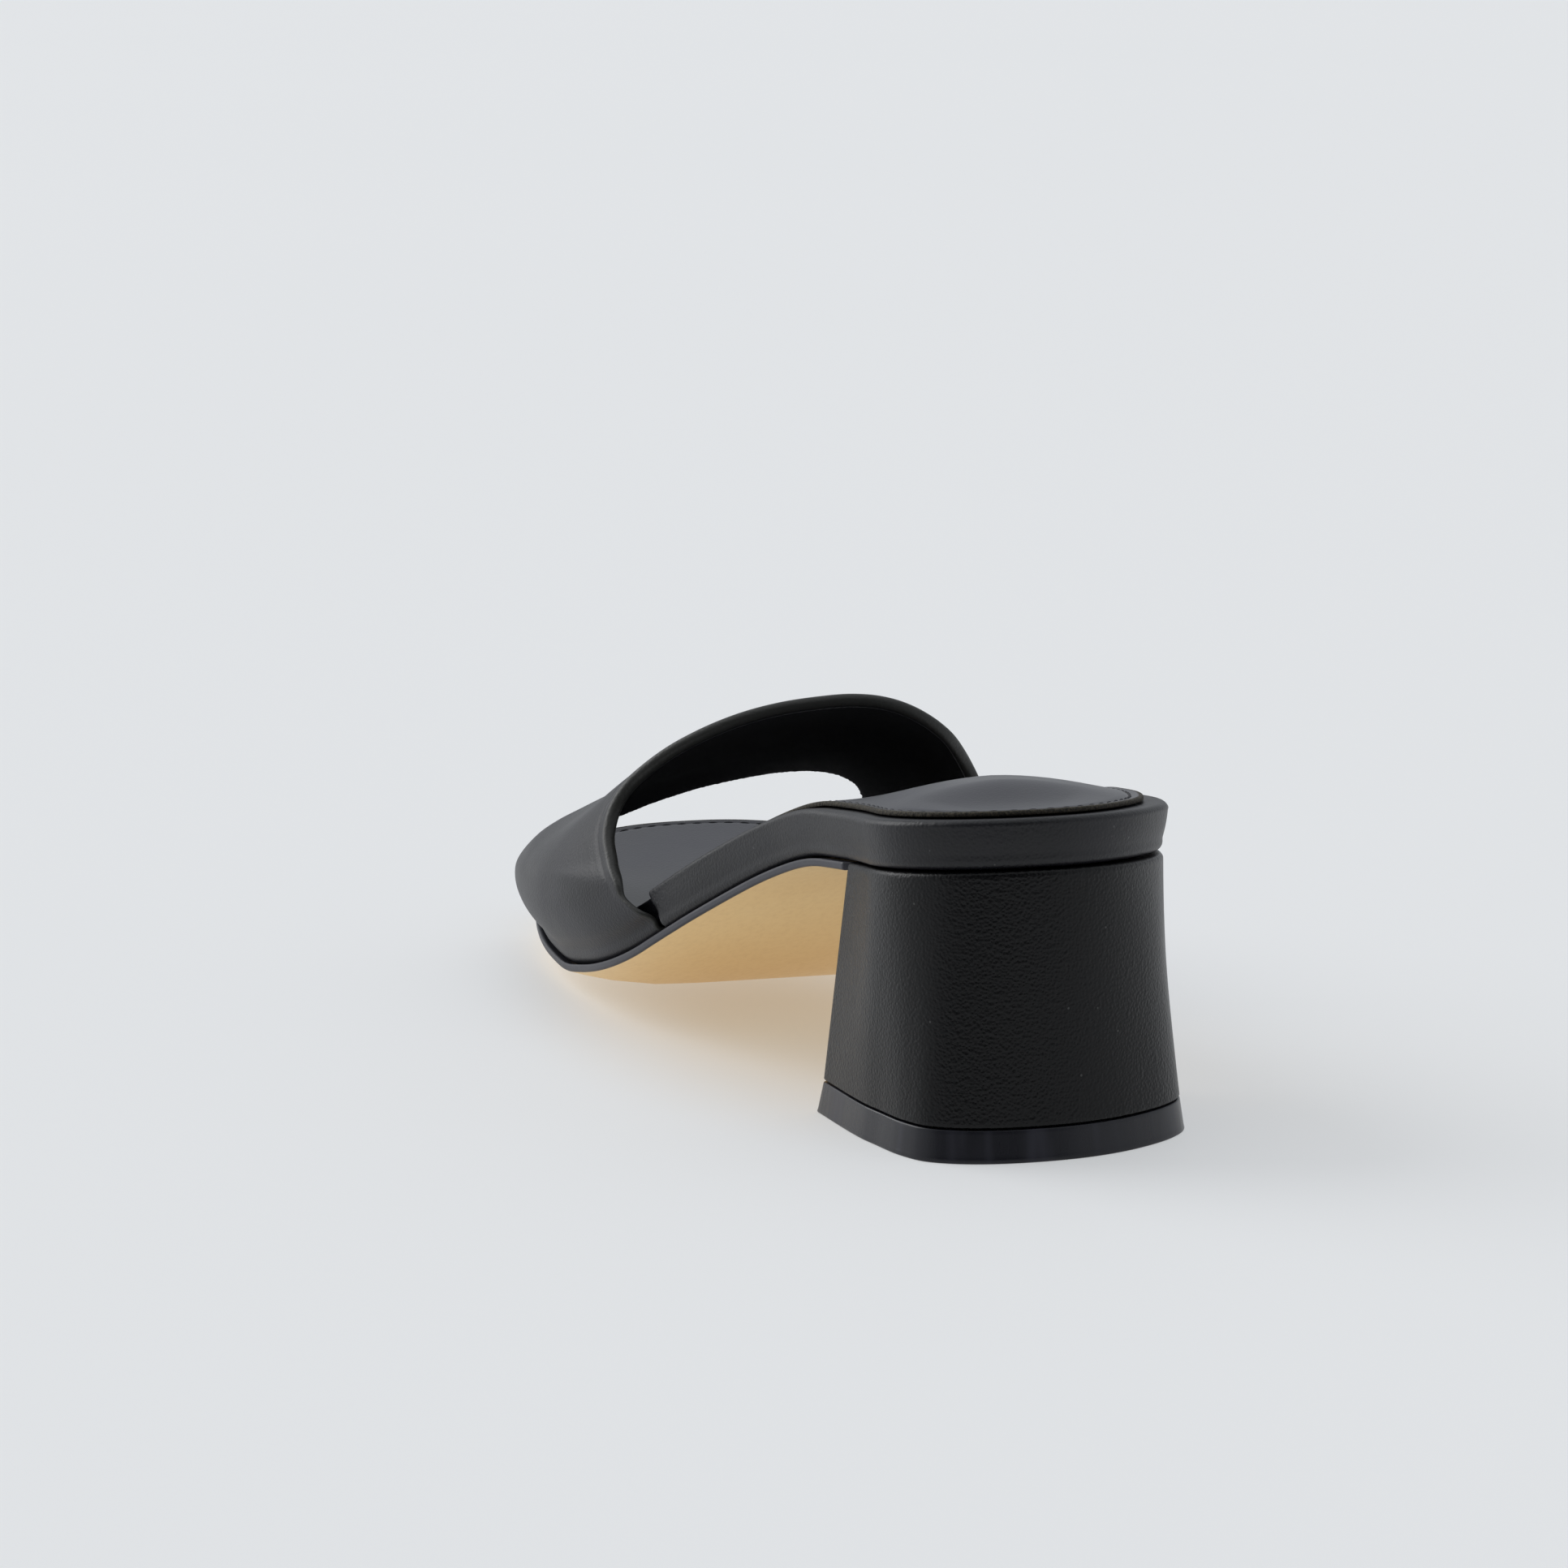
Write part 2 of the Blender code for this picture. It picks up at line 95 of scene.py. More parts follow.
TOE_ROUND = 15.0
TOE_POWER = 2.5
HEEL_FOOT_BACK = -0.8
HEEL_FOOT_ROUND = 18.0

Plan = namedtuple("Plan", "station centre half")
PLATFORM_PLAN = [
    Plan(0.000, 0.048, 0.302), Plan(0.040, 0.027, 0.318), Plan(0.085, -0.007, 0.336),
    Plan(0.146, -0.047, 0.356), Plan(0.210, -0.057, 0.370), Plan(0.280, -0.055, 0.384),
    Plan(0.330, -0.044, 0.404), Plan(0.418, -0.013, 0.443), Plan(0.531, 0.012, 0.484),
    Plan(0.615, 0.000, 0.497), Plan(0.699, -0.013, 0.496), Plan(0.782, -0.028, 0.476),
    Plan(0.845, -0.042, 0.445), Plan(0.908, -0.062, 0.398), Plan(1.000, -0.115, 0.330),
]
HEEL_PLAN = [
    Plan(0.000, 0.050, 0.312), Plan(0.022, 0.028, 0.318), Plan(0.040, 0.003, 0.322),
    Plan(0.058, -0.014, 0.330), Plan(0.104, -0.020, 0.349), Plan(0.188, -0.026, 0.362),
]
Arch = namedtuple("Arch", "station side rise lateral medial widest lateral_power medial_power")
STRAP_ARCHES = [
    Arch(0.512, -0.088, 1.001, 0.509, 0.464, 0.454, 2.06, 1.88),
    Arch(0.594, -0.102, 0.887, 0.555, 0.500, 0.401, 1.61, 2.13),
    Arch(0.678, -0.142, 0.770, 0.554, 0.509, 0.334, 1.59, 2.24),
    Arch(0.753, -0.186, 0.670, 0.514, 0.507, 0.291, 1.71, 2.32),
    Arch(0.824, -0.230, 0.581, 0.435, 0.476, 0.249, 1.55, 2.68),
]
Sweep = namedtuple("Sweep", "place rear front")
STRAP_SWEEP = [
    Sweep(0.000, -0.028, 0.028), Sweep(0.070, 0.019, 0.023), Sweep(0.130, 0.034, 0.017),
    Sweep(0.220, 0.029, -0.003), Sweep(0.320, 0.017, -0.006), Sweep(0.500, -0.002, -0.014),
    Sweep(0.700, 0.001, -0.009), Sweep(0.850, 0.025, 0.010), Sweep(1.000, 0.005, 0.023),
]
print("Shoe:", LENGTH, "mm long,", BALL_WIDTH, "mm at the ball")

# %% [markdown]
# The sole's bottom line leads everything: tilted under the seat, falling through the waist, flat under the ball
# and springing up at the toe. place() stacks a layer on that line, square to it, as layers of leather lie.
# %% The lines of the last
def smooth(rows, key, column, at):
    """Reads a column of a table with a smooth curve through its rows."""
    xs = np.array([getattr(row, key) for row in rows])
    ys = np.array([getattr(row, column) for row in rows])
    return curve(xs, ys, at)


def curve(xs, ys, at):
    """Smooth curve through points, ys given at xs, read at the places in at."""
    slopes = np.gradient(ys, xs, axis=0)
    at = np.clip(np.asarray(at, float), xs[0], xs[-1])
    i = np.clip(np.searchsorted(xs, at) - 1, 0, len(xs) - 2)
    width = xs[i + 1] - xs[i]
    u = (at - xs[i]) / width
    if ys.ndim > 1:
        u, width = u[:, None], width[:, None]
    start = (2 * u**3 - 3 * u**2 + 1) * ys[i] + (u**3 - 2 * u**2 + u) * width * slopes[i]
    return start + (3 * u**2 - 2 * u**3) * ys[i + 1] + (u**3 - u**2) * width * slopes[i + 1]


def ease(value, start, end):
    """Goes softly from 0 at start to 1 at end."""
    u = np.clip((np.asarray(value, float) - start) / (end - start), 0.0, 1.0)
    return u * u * (3 - 2 * u)


def sole_height(station):
    """Height of the sole's bottom line above the floor."""
    s = np.asarray(station, float)
    seat = SEAT_RISE - math.tan(SEAT_TILT) * np.minimum(s, SEAT_END)
    run = BALL_START - SEAT_END
    u = np.clip((s - SEAT_END) / run, 0.0, 1.0)
    fall = (2 * u**3 - 3 * u**2 + 1) * seat - (u**3 - 2 * u**2 + u) * run * math.tan(SEAT_TILT)
    spring = np.clip((s - BALL_END) / (LENGTH - BALL_END), 0.0, None) ** 1.5 * TOE_SPRING
    return np.where(s < SEAT_END, seat, fall) + spring


def end_share(station, back, front, back_round, back_power, front_round=0.0, front_power=2.0):
    """Share of the full width that the rounded ends of an outline leave."""
    near = np.clip((back + back_round - station) / back_round, 0.0, 1.0)
    share = (1 - near**back_power) ** (1 / back_power)
    if front_round:
        far = np.clip((station - front + front_round) / front_round, 0.0, 1.0)
        share = share * (1 - far**front_power) ** (1 / front_power)
    return share


def platform_plan(station):
    s = np.asarray(station, float) / LENGTH
    centre = smooth(PLATFORM_PLAN, "station", "centre", s) * BALL_WIDTH
    return centre, smooth(PLATFORM_PLAN, "station", "half", s) * BALL_WIDTH


def platform_sides(station):
    centre, half = platform_plan(station)
    s = np.asarray(station, float)
    share = end_share(s, 0.0, LENGTH, HEEL_ROUND, HEEL_POWER, TOE_ROUND, TOE_POWER)
    return centre + half * share, centre - half * share


def edge_rise(station, side):
    """How far the forefoot curves up at its sides."""
    centre, half = platform_plan(station)
    out = np.clip((np.abs(side - centre) / half - 0.45) / 0.55, 0.0, 1.2)
    return EDGE_RISE * out**2 * ease(station, 112.0, 150.0) * (1 - 0.8 * ease(station, 195.0, LENGTH))


def place(station, side, height):
    """Point at a height above the sole's bottom line, square to that line."""
    s, y, h = np.broadcast_arrays(np.asarray(station, float), side, height)
    slope = (sole_height(s + 0.05) - sole_height(s - 0.05)) / 0.1
    length = np.sqrt(1 + slope**2)
    z = sole_height(s) + edge_rise(s, y) + h / length
    return np.stack([s - HEEL_CENTRE - h * slope / length, y, z], axis=-1)


def inset_sides(station, inset):
    """Stations and sides of the platform's outline, drawn in all round."""
    s = np.asarray(station, float)
    lateral, medial = platform_sides(s)
    centre, half = (lateral + medial) / 2, (lateral - medial) / 2
    half = half * (1 - inset / platform_plan(s)[1])
    return s + inset * (1 - 2 * s / LENGTH), centre + half, centre - half


def side_lean(station):
    """How far the platform's side leans in at its bottom edge."""
    return SIDE_LEAN - (SIDE_LEAN - 0.3) * ease(station, 88.0, 112.0)


def strap_zone(station, rear, front):
    """1 where the strap covers the platform's side, 0 elsewhere."""
    return ease(station, rear - ZONE_REAR, rear) * (1 - ease(station, front, front + ZONE_FRONT))


def zone_start(rear, height):
    """Where the strap starts to cover the side at a height; its edge leans forward as it rises."""
    return rear + max(0.0, height - 3.0) * EDGE_LEAN


def drawn_in(station, lateral, medial, height):
    """Both sides of a layer, drawn in where the strap comes down beside it."""
    lateral = lateral - DRAWN_IN * strap_zone(station, zone_start(LATERAL_REAR, height), LATERAL_FRONT)
    return lateral, medial + DRAWN_IN * strap_zone(station, MEDIAL_REAR, MEDIAL_FRONT)


def stations(start, step=1.2):
    """Stations from a start to the toe, close together in the rounded ends."""
    heel = HEEL_ROUND * (1 - np.cos(np.linspace(0.02, math.pi / 2, 34)))
    body = np.arange(max(start, HEEL_ROUND + step), LENGTH - TOE_ROUND, step)
    finer = np.arange(LATERAL_REAR - 2.0, MEDIAL_REAR + 1.0, 0.3)
    body = np.sort(np.concatenate([body[(body < finer[0] - 0.2) | (body > finer[-1] + 0.2)], finer]))
    toe = LENGTH - TOE_ROUND * (1 - np.cos(np.linspace(math.pi / 2, 0.02, 26)))
    return np.concatenate([heel[heel > start] if start < HEEL_ROUND else [], body, toe])


print("Seat height:", round(float(sole_height(0.0)), 1), "mm")
print("Ball height:", round(float(sole_height(BALL_START)), 1), "mm")

# %% [markdown]
# Each cover starts as Blender's own grid, with as many squares as the cover has. Its corners are laid on the
# shoe's lines, as a sheet of leather is laid on the last. A grid that goes right round a piece is joined where
# its two sides meet, and its normals are turned outwards.
# %% Laying a grid on the shoe
def deselect():
    if bpy.context.object and bpy.context.object.mode != "OBJECT":
        bpy.ops.object.mode_set(mode="OBJECT")
    bpy.ops.object.select_all(action="DESELECT")


def edit(piece, *steps):
    """Runs edit-mode operators on the whole of one piece."""
    deselect()
    piece.select_set(True)
    bpy.context.view_layer.objects.active = piece
    bpy.ops.object.mode_set(mode="EDIT")
    bpy.ops.mesh.select_all(action="SELECT")
    for step in steps:
        step()
    bpy.ops.object.mode_set(mode="OBJECT")


def laid_grid(name, rows):
    """A grid whose corners lie on a table of points, in millimetres."""
    rows = np.asarray(rows, float)
    down, along = rows.shape[:2]
    deselect()
    bpy.ops.mesh.primitive_grid_add(x_subdivisions=along - 1, y_subdivisions=down - 1, size=1.0)
    piece = bpy.context.object
    piece.name = piece.data.name = name
    piece.data.vertices.foreach_set("co", (rows * MM).ravel())
    piece.data.update()
    return piece


def join_doubles():
    bpy.ops.mesh.remove_doubles(threshold=2e-6)


def face_outwards():
    bpy.ops.mesh.normals_make_consistent(inside=False)


def closed_round(name, loops):
    """A closed body from a stack of loops, each going once round it."""
    rows = [np.vstack([loop, loop[:1]]) for loop in loops]
    piece = laid_grid(name, rows)
    edit(piece, join_doubles, face_outwards)
    piece.data.shade_smooth()
    return piece


def finish_piece(piece, material):
    """Rides a finished piece on the body and its material."""
    piece.data.materials.clear()
    piece.data.materials.append(material)
    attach(piece, "root")
    print(piece.name, len(piece.data.polygons), "faces")
    return piece


def loop_of(lateral, medial):
    """One loop: up the lateral side from heel to toe and back down the medial side."""
    return np.vstack([lateral, medial[::-1]])


# %% [markdown]
# A material is a small graph of nodes. Written as Python, its sums read like sums: Wire stands for one output of
# a node and turns +, -, * and / into Math nodes. Anything else comes from one method, node().
# %% Shader sums
class Wire:
    """One output in a node tree, on which sums can be written."""

    def __init__(self, finish, socket):
        self.finish = finish
        self.socket = socket

    def _sum(self, operation, *values):
        return self.finish.node("ShaderNodeMath", {"operation": operation}, dict(enumerate(values)))

    def __add__(self, other):
        return self._sum("ADD", self, other)

    def __radd__(self, other):
        return self._sum("ADD", other, self)

    def __sub__(self, other):
        return self._sum("SUBTRACT", self, other)

    def __rsub__(self, other):
        return self._sum("SUBTRACT", other, self)

    def __mul__(self, other):
        return self._sum("MULTIPLY", self, other)

    def __rmul__(self, other):
        return self._sum("MULTIPLY", other, self)

    def __truediv__(self, other):
        return self._sum("DIVIDE", self, other)

    def __pow__(self, other):
        return self._sum("POWER", self, other)

    def above(self, low, high):
        """0 below low, 1 above high, soft between."""
        values = {"Value": self, "From Min": low, "From Max": high}
        return self.finish.node("ShaderNodeMapRange", {"interpolation_type": "SMOOTHSTEP"}, values)


class Finish:
    """A material under construction."""

    def __init__(self, name, roughness, specular=0.5):
        self.material = bpy.data.materials.new(name)
        self.material.use_nodes = True
        self.tree = self.material.node_tree
        self.shader = self.tree.nodes["Principled BSDF"]
        self.set("Roughness", roughness)
        self.set("Specular IOR Level", specular)
        coordinates = self.tree.nodes.new("ShaderNodeTexCoord")
        self.place = Wire(self, coordinates.outputs["Object"])
        self.flat = Wire(self, coordinates.outputs["UV"])

    def feed(self, socket, value):
        if isinstance(value, Wire):
            self.tree.links.new(value.socket, socket)
        else:
            socket.default_value = value

    def set(self, name, value):
        self.feed(self.shader.inputs[name], value)

    def node(self, kind, settings, values, output=0):
        made = self.tree.nodes.new(kind)
        for name, value in settings.items():
            setattr(made, name, value)
        for name, value in values.items():
            self.feed(made.inputs[name], value)
        return Wire(self, made.outputs[output])

    def stretched(self, x, y, z):
        """Object coordinates stretched along the axes."""
        settings = {"operation": "MULTIPLY"}
        return self.node("ShaderNodeVectorMath", settings, {0: self.place, 1: (x, y, z)})

    def cloud(self, scale, detail=2.0, rough=0.5, where=None, warp=0.0):
        values = {"Vector": where or self.place, "Scale": scale, "Detail": detail}
        return self.node("ShaderNodeTexNoise", {}, {**values, "Roughness": rough, "Distortion": warp})

    def cells(self, scale, feature="F1", output="Distance", where=None, random=1.0):
        values = {"Vector": where or self.place, "Scale": scale, "Randomness": random}
        return self.node("ShaderNodeTexVoronoi", {"feature": feature}, values, output)

    def blend(self, share, low, high):
        settings = {"data_type": "RGBA"}
        return self.node("ShaderNodeMix", settings, {"Factor": share, 6: low, 7: high}, 2)

    def bump(self, height, depth):
        """Relief with a depth in millimetres."""
        values = {"Height": height, "Distance": depth * MM}
        self.set("Normal", self.node("ShaderNodeBump", {}, values, "Normal"))

    def part_of_flat(self, axis):
        split = self.tree.nodes.new("ShaderNodeSeparateXYZ")
        self.feed(split.inputs[0], self.flat)
        return Wire(self, split.outputs[axis])


def grey(value, blue=1.45):
    """A dark grey, a little cool as black leather is in daylight."""
    return (value, value * 1.003, value * blue, 1.0)


# %% [markdown]
# The shoe is covered in a smooth black leather with a very fine pebble grain. On the heel the grain is strongest,
# on the platform's edge it is drawn up into small upright wrinkles, and on the strap it is flatter and shows soft
# cloudy tones instead. One recipe with different amounts gives the three.
# %% Leather recipe
def leather(name, tone, rough, grain, wrinkle=0.0, dust=0.0, cloud=0.3, specular=0.5):
    """Black leather. grain and wrinkle are depths in millimetres, dust is the share of light specks."""
    made = Finish(name, rough, specular)
    tones = made.cloud(55.0, 3.0, 0.55)
    patches = made.cloud(17.0, 2.0, 0.5, warp=0.6)
    shade = made.blend(tones.above(0.3, 0.72), grey(tone * (1 - cloud)), grey(tone * (1 + cloud)))
    pebbles = made.cells(2100.0, "SMOOTH_F1")
    pores = made.cloud(4200.0, 2.0, 0.6)
    relief = pebbles + pores * 0.25
    relief = relief * (0.55 + patches * 0.9)
    if wrinkle:
        upright = made.stretched(1.0, 1.0, 0.22)
        folds = made.cloud(1500.0, 3.0, 0.6, upright, 0.8)
        relief = relief + folds * (wrinkle / grain) * patches.above(0.42, 0.62)
    if dust:
        specks = made.cells(760.0)
        lottery = made.cells(760.0, output="Color")
        draw = made.node("ShaderNodeSeparateColor", {}, {"Color": lottery}, "Red")
        chosen = draw.above(1 - dust, 1 - dust + 0.01)
        spots = (1 - specks.above(0.08, 0.2)) * chosen
        shade = made.blend(spots * 0.4, shade, grey(0.14, 0.98))
    made.shade = shade
    made.set("Base Color", shade)
    made.set("Roughness", rough + (tones - 0.5) * 0.16 + (pores - 0.5) * 0.10)
    made.bump(relief, grain)
    return made


strap_leather = leather("strap_soft_leather", 0.007, 0.42, grain=0.05, cloud=0.45, specular=0.30)
platform_leather = leather(
    "platform_wrap_leather", 0.005, 0.44, grain=0.07, wrinkle=0.11, dust=0.07, specular=0.38
)
heel_leather = leather("heel_cover_leather", 0.001, 0.35, grain=0.10, dust=0.03, specular=0.25)
print("Leathers:", [m.name for m in bpy.data.materials if "leather" in m.name])

# %% [markdown]
# The platform is a light board wrapped in leather, which turns over its top and bottom edges in soft, narrow
# rounds. At the heel its side leans in a little to the bottom. Beside the strap it is drawn in, and its bottom
# edge is raised, to leave room for the strap's turned-in ends.
# %% Platform wrap
PLATFORM_ROUND_TOP = 1.0
PLATFORM_ROUND_LOW = 1.5
PLATFORM_FLANK = PLATFORM_THICK - PLATFORM_ROUND_LOW - PLATFORM_ROUND_TOP
TOP_SHARES = (0.97, 0.9, 0.75, 0.5, 0.25, 0.0)
platform_stations = stations(0.0)


def platform_level(inset, height, raised=0.0):
    """A loop round the platform."""
    s = platform_stations
    station, lateral, medial = inset_sides(s, inset)
    lateral, medial = drawn_in(s, lateral, medial, height)
    lift = STRAP_POCKET - PLATFORM_BASE
    lateral_lift = raised * lift * strap_zone(s, LATERAL_REAR - 0.5, LATERAL_FRONT + 0.5)
    medial_lift = raised * lift * strap_zone(s, MEDIAL_REAR - 0.5, MEDIAL_FRONT + 0.5)
    return station, lateral, medial, height + lateral_lift, height + medial_lift


def platform_loop(inset, height, raised=0.0):
    station, lateral, medial, high_lateral, high_medial = platform_level(inset, height, raised)
    return loop_of(place(station, lateral, high_lateral), place(station, medial, high_medial))


def cover_loops(level, shares):
    """Loops that close a top or bottom towards the middle line."""
    station, lateral, medial, high_lateral, high_medial = level
    middle, half = (lateral + medial) / 2, (lateral - medial) / 2
    loops = []
    for share in shares:
        left = place(station, middle + half * share, high_lateral)
        right = place(station, middle - half * share, high_medial)
        loops.append(loop_of(left, right))
    return loops


def flange_loops(level, reach):
    """Loops of the underside: flat in the middle, raised over the pockets for the strap's ends."""
    station, lateral, medial, high_lateral, high_medial = level
    middle, half = (lateral + medial) / 2, (lateral - medial) / 2
    reach = np.minimum(reach, half * 0.6)
    loops = []
    for part in (1.0, 0.5):
        left = place(station, lateral - reach * part, high_lateral)
        right = place(station, medial + reach * part, high_medial)
        loops.append(loop_of(left, right))
    for share in (1.0, 0.6, 0.3, 0.0):
        inner = (half - reach - 0.1) * share
        left = place(station, middle + inner, PLATFORM_BASE)
        loops.insert(0, loop_of(left, place(station, middle - inner, PLATFORM_BASE)))
    return loops


lean = side_lean(platform_stations)
loops = flange_loops(platform_level(lean + PLATFORM_ROUND_LOW, PLATFORM_BASE, 1.0), FLANGE + 0.6)
for turn in np.linspace(0.0, math.pi / 2, 6):
    in_by = PLATFORM_ROUND_LOW * (1 - math.sin(turn))
    up_by = PLATFORM_ROUND_LOW * (1 - math.cos(turn))
    loops.append(platform_loop(lean + in_by, PLATFORM_BASE + up_by, 1.0))
for share in np.linspace(0.12, 0.95, 12):
    height = PLATFORM_BASE + PLATFORM_ROUND_LOW + share * PLATFORM_FLANK
    swell = 0.12 * math.sin(math.pi * share)
    loops.append(platform_loop(lean * (1 - share) + 0.15 - swell, height, max(0.0, 1 - share * 1.4)))
for turn in np.linspace(0.1, math.pi / 2, 6):
    in_by = PLATFORM_ROUND_TOP * (1 - math.cos(turn))
    down_by = PLATFORM_ROUND_TOP * (1 - math.sin(turn))
    loops.append(platform_loop(0.1 + in_by, PLATFORM_TOP - down_by))
loops += cover_loops(platform_level(0.1 + PLATFORM_ROUND_TOP, PLATFORM_TOP), TOP_SHARES)
platform_wrap = closed_round("platform_wrap", loops)
finish_piece(platform_wrap, platform_leather.material)
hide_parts("platform")

# %% [markdown]
# The sole is a sheet of tan leather, 1.3 mm thick, from the heel's breast to the toe. Its cut edge is painted
# black, and the paint stops where the edge turns under. The grid's own UV map tells edge and face apart.
# %% Leather sole
sole_stations = stations(HEEL_SEAT + 1.0)
SOLE_ROUND = 0.35


def sole_level(inset, height):
    station, lateral, medial = inset_sides(sole_stations, inset)
    height = np.full_like(station, height)
    return station, lateral, medial, height, height


def sole_loop(inset, height):
    station, lateral, medial, level, _ = sole_level(inset, height)
    return loop_of(place(station, lateral, level), place(station, medial, level))


lean = side_lean(sole_stations)
shares = (0.0, 0.2, 0.4, 0.6, 0.8, 0.92, 0.98)
loops = cover_loops(sole_level(lean + SOLE_ROUND, 0.0), shares)
face_rows = len(loops)
for turn in np.linspace(0.0, math.pi / 2, 5):
    loops.append(sole_loop(lean + SOLE_ROUND * (1 - math.sin(turn)), SOLE_ROUND * (1 - math.cos(turn))))
for height in np.linspace(0.5, SOLE_THICK, 3):
    loops.append(sole_loop(lean, height))
edge_rows = len(loops)
loops += cover_loops(sole_level(lean, SOLE_THICK), shares[::-1])
sole = closed_round("sole_bottom", loops)

tan = Finish("sole_tan_leather", 0.40)
row = tan.part_of_flat("Y") * (len(loops) - 1)
paint = row.above(face_rows - 0.2, face_rows + 0.6) * (1 - row.above(edge_rows + 0.5, edge_rows + 1.5))
fibres = tan.cloud(900.0, 3.0, 0.6, tan.stretched(0.35, 1.0, 1.0))
cloudy = tan.cloud(24.0, 3.0, 0.5)
honey = tan.blend(cloudy.above(0.3, 0.7), (0.92, 0.655, 0.31, 1.0), (0.95, 0.70, 0.35, 1.0))
honey = tan.blend(fibres.above(0.35, 0.8) * 0.22, honey, (0.68, 0.45, 0.20, 1.0))
tan.set("Base Color", tan.blend(paint, honey, grey(0.022)))
tan.set("Roughness", 0.40 + (fibres - 0.5) * 0.12 + paint * 0.08)
tan.bump(fibres + tan.cells(1500.0) * 0.4, 0.02)
finish_piece(sole, tan.material)
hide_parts("outsole")

# %% [markdown]
# The block heel is covered in the same leather, pulled smooth round the block and tucked in at its top under the
# platform. The cover's two upright back corners are wide rounds that catch the light. The breast is flat, and
# its corners are crisp. The top piece under it is plastic and flares out a little to the floor.
# %% Heel cover and top piece
HEEL_CORNER = 1.1
HEEL_TUCK = 0.75


def heel_sides(station):
    s = np.asarray(station, float)
    centre = smooth(HEEL_PLAN, "station", "centre", (s - HEEL_FOOT_BACK) / LENGTH) * BALL_WIDTH
    half = smooth(HEEL_PLAN, "station", "half", (s - HEEL_FOOT_BACK) / LENGTH) * BALL_WIDTH
    share = end_share(s, HEEL_FOOT_BACK, LENGTH, HEEL_FOOT_ROUND, HEEL_POWER)
    return centre + half * share, centre - half * share


def heel_turns():
    """Shares along the heel from its back to its breast."""
    back = HEEL_FOOT_ROUND / (BREAST + 1.0 - HEEL_FOOT_BACK)
    bend = back * (1 - np.cos(np.linspace(0.02, math.pi / 2, 44)))
    return np.concatenate([bend, np.linspace(back, 1.0, 26)[1:]])


def heel_foot(height, inset=0.0):
    turns = heel_turns()
    s = HEEL_FOOT_BACK + turns * (BREAST + 1.0 - HEEL_FOOT_BACK)
    lateral, medial = heel_sides(s)
    middle, half = (lateral + medial) / 2, (lateral - medial) / 2
    half = half * (1 - inset / (0.34 * BALL_WIDTH))
    x = s - HEEL_CENTRE + inset * (1 - 2 * turns)
    z = np.full_like(x, height)
    return np.stack([x, middle + half, z], axis=-1), np.stack([x, middle - half, z], axis=-1)


def heel_seat(inset):
    s, lateral, medial = inset_sides(heel_turns() * HEEL_SEAT, HEEL_INSET + inset)
    return place(s, lateral - HEEL_SHIFT, SOLE_THICK), place(s, medial - HEEL_SHIFT, SOLE_THICK)


def breast_corner(side, middle, radius):
    """Rounds the last point of a side into the breast."""
    end = side[-1]
    inward = (middle - end) / np.linalg.norm(middle - end)
    forward = (side[-1] - side[-3]) / np.linalg.norm(side[-1] - side[-3])
    kept = side[np.linalg.norm(side - end, axis=1) > radius]
    arc = [end - forward * radius + radius * (inward * (1 - math.cos(t)) + forward * math.sin(t))
           for t in np.linspace(0.0, math.pi / 2, 6)]
    return kept, np.array(arc)


def heel_loop(pair, share=1.0, radius=HEEL_CORNER):
    """Loop round the heel: lateral side, breast, medial side; share draws it in to the middle."""
    lateral, medial = pair
    middle = (lateral + medial) / 2
    lateral = middle + (lateral - middle) * share
    medial = middle + (medial - middle) * share
    if share < 0.9:
        across = [lateral[-1] * (1 - u) + medial[-1] * u for u in np.linspace(0, 1, 26)[1:-1]]
        kept = len(heel_keep)
        return np.vstack([lateral[:kept], [lateral[-1]] * 6, across, [medial[-1]] * 6, medial[:kept][::-1]])
    left, left_arc = breast_corner(lateral, middle[-1], radius)
    right, right_arc = breast_corner(medial, middle[-1], radius)
    left, right = lateral[: len(heel_keep)], medial[: len(heel_keep)]
    across = [left_arc[-1] * (1 - u) + right_arc[-1] * u for u in np.linspace(0, 1, 26)[1:-1]]
    return np.vstack([left, left_arc, across, right_arc[::-1], right[::-1]])


def blended(low, high, share):
    """Level of the heel's side between its foot and its seat."""
    return [a * (1 - share) + b * share for a, b in zip(low, high)]


foot = heel_foot(TOP_PIECE_THICK + GAP, 0.8)
seat = heel_seat(0.0)
heel_keep = foot[0][np.linalg.norm(foot[0] - foot[0][-1], axis=1) > HEEL_CORNER * 1.6]
loops = [heel_loop(heel_foot(TOP_PIECE_THICK + GAP, 1.2), share) for share in (0.0, 0.5, 0.85)]
loops.append(heel_loop(heel_foot(TOP_PIECE_THICK + GAP, 1.1)))
for share in [0.0, 0.006] + list(np.linspace(0.02, 0.972, 34)):
    level = blended(foot, seat, share)
    if share == 0.0:
        level = blended(heel_foot(TOP_PIECE_THICK + GAP, 0.95), seat, share)
    loops.append(heel_loop(level))
tuck_top = heel_seat(HEEL_TUCK)
side_top = blended(foot, seat, 0.976)
for turn in np.linspace(0.25, math.pi / 2, 6):
    out, up = math.cos(turn), math.sin(turn)
    level = []
    for a, b in zip(side_top, tuck_top):
        points = b + (a - b) * out
        points[:, 2] = a[:, 2] + (b[:, 2] - a[:, 2]) * up
        level.append(points)
    loops.append(heel_loop(level))
loops += [heel_loop(tuck_top, share) for share in (0.8, 0.5, 0.0)]
heel_cover = finish_piece(closed_round("heel_cover", loops), heel_leather.material)
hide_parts("heel_block")

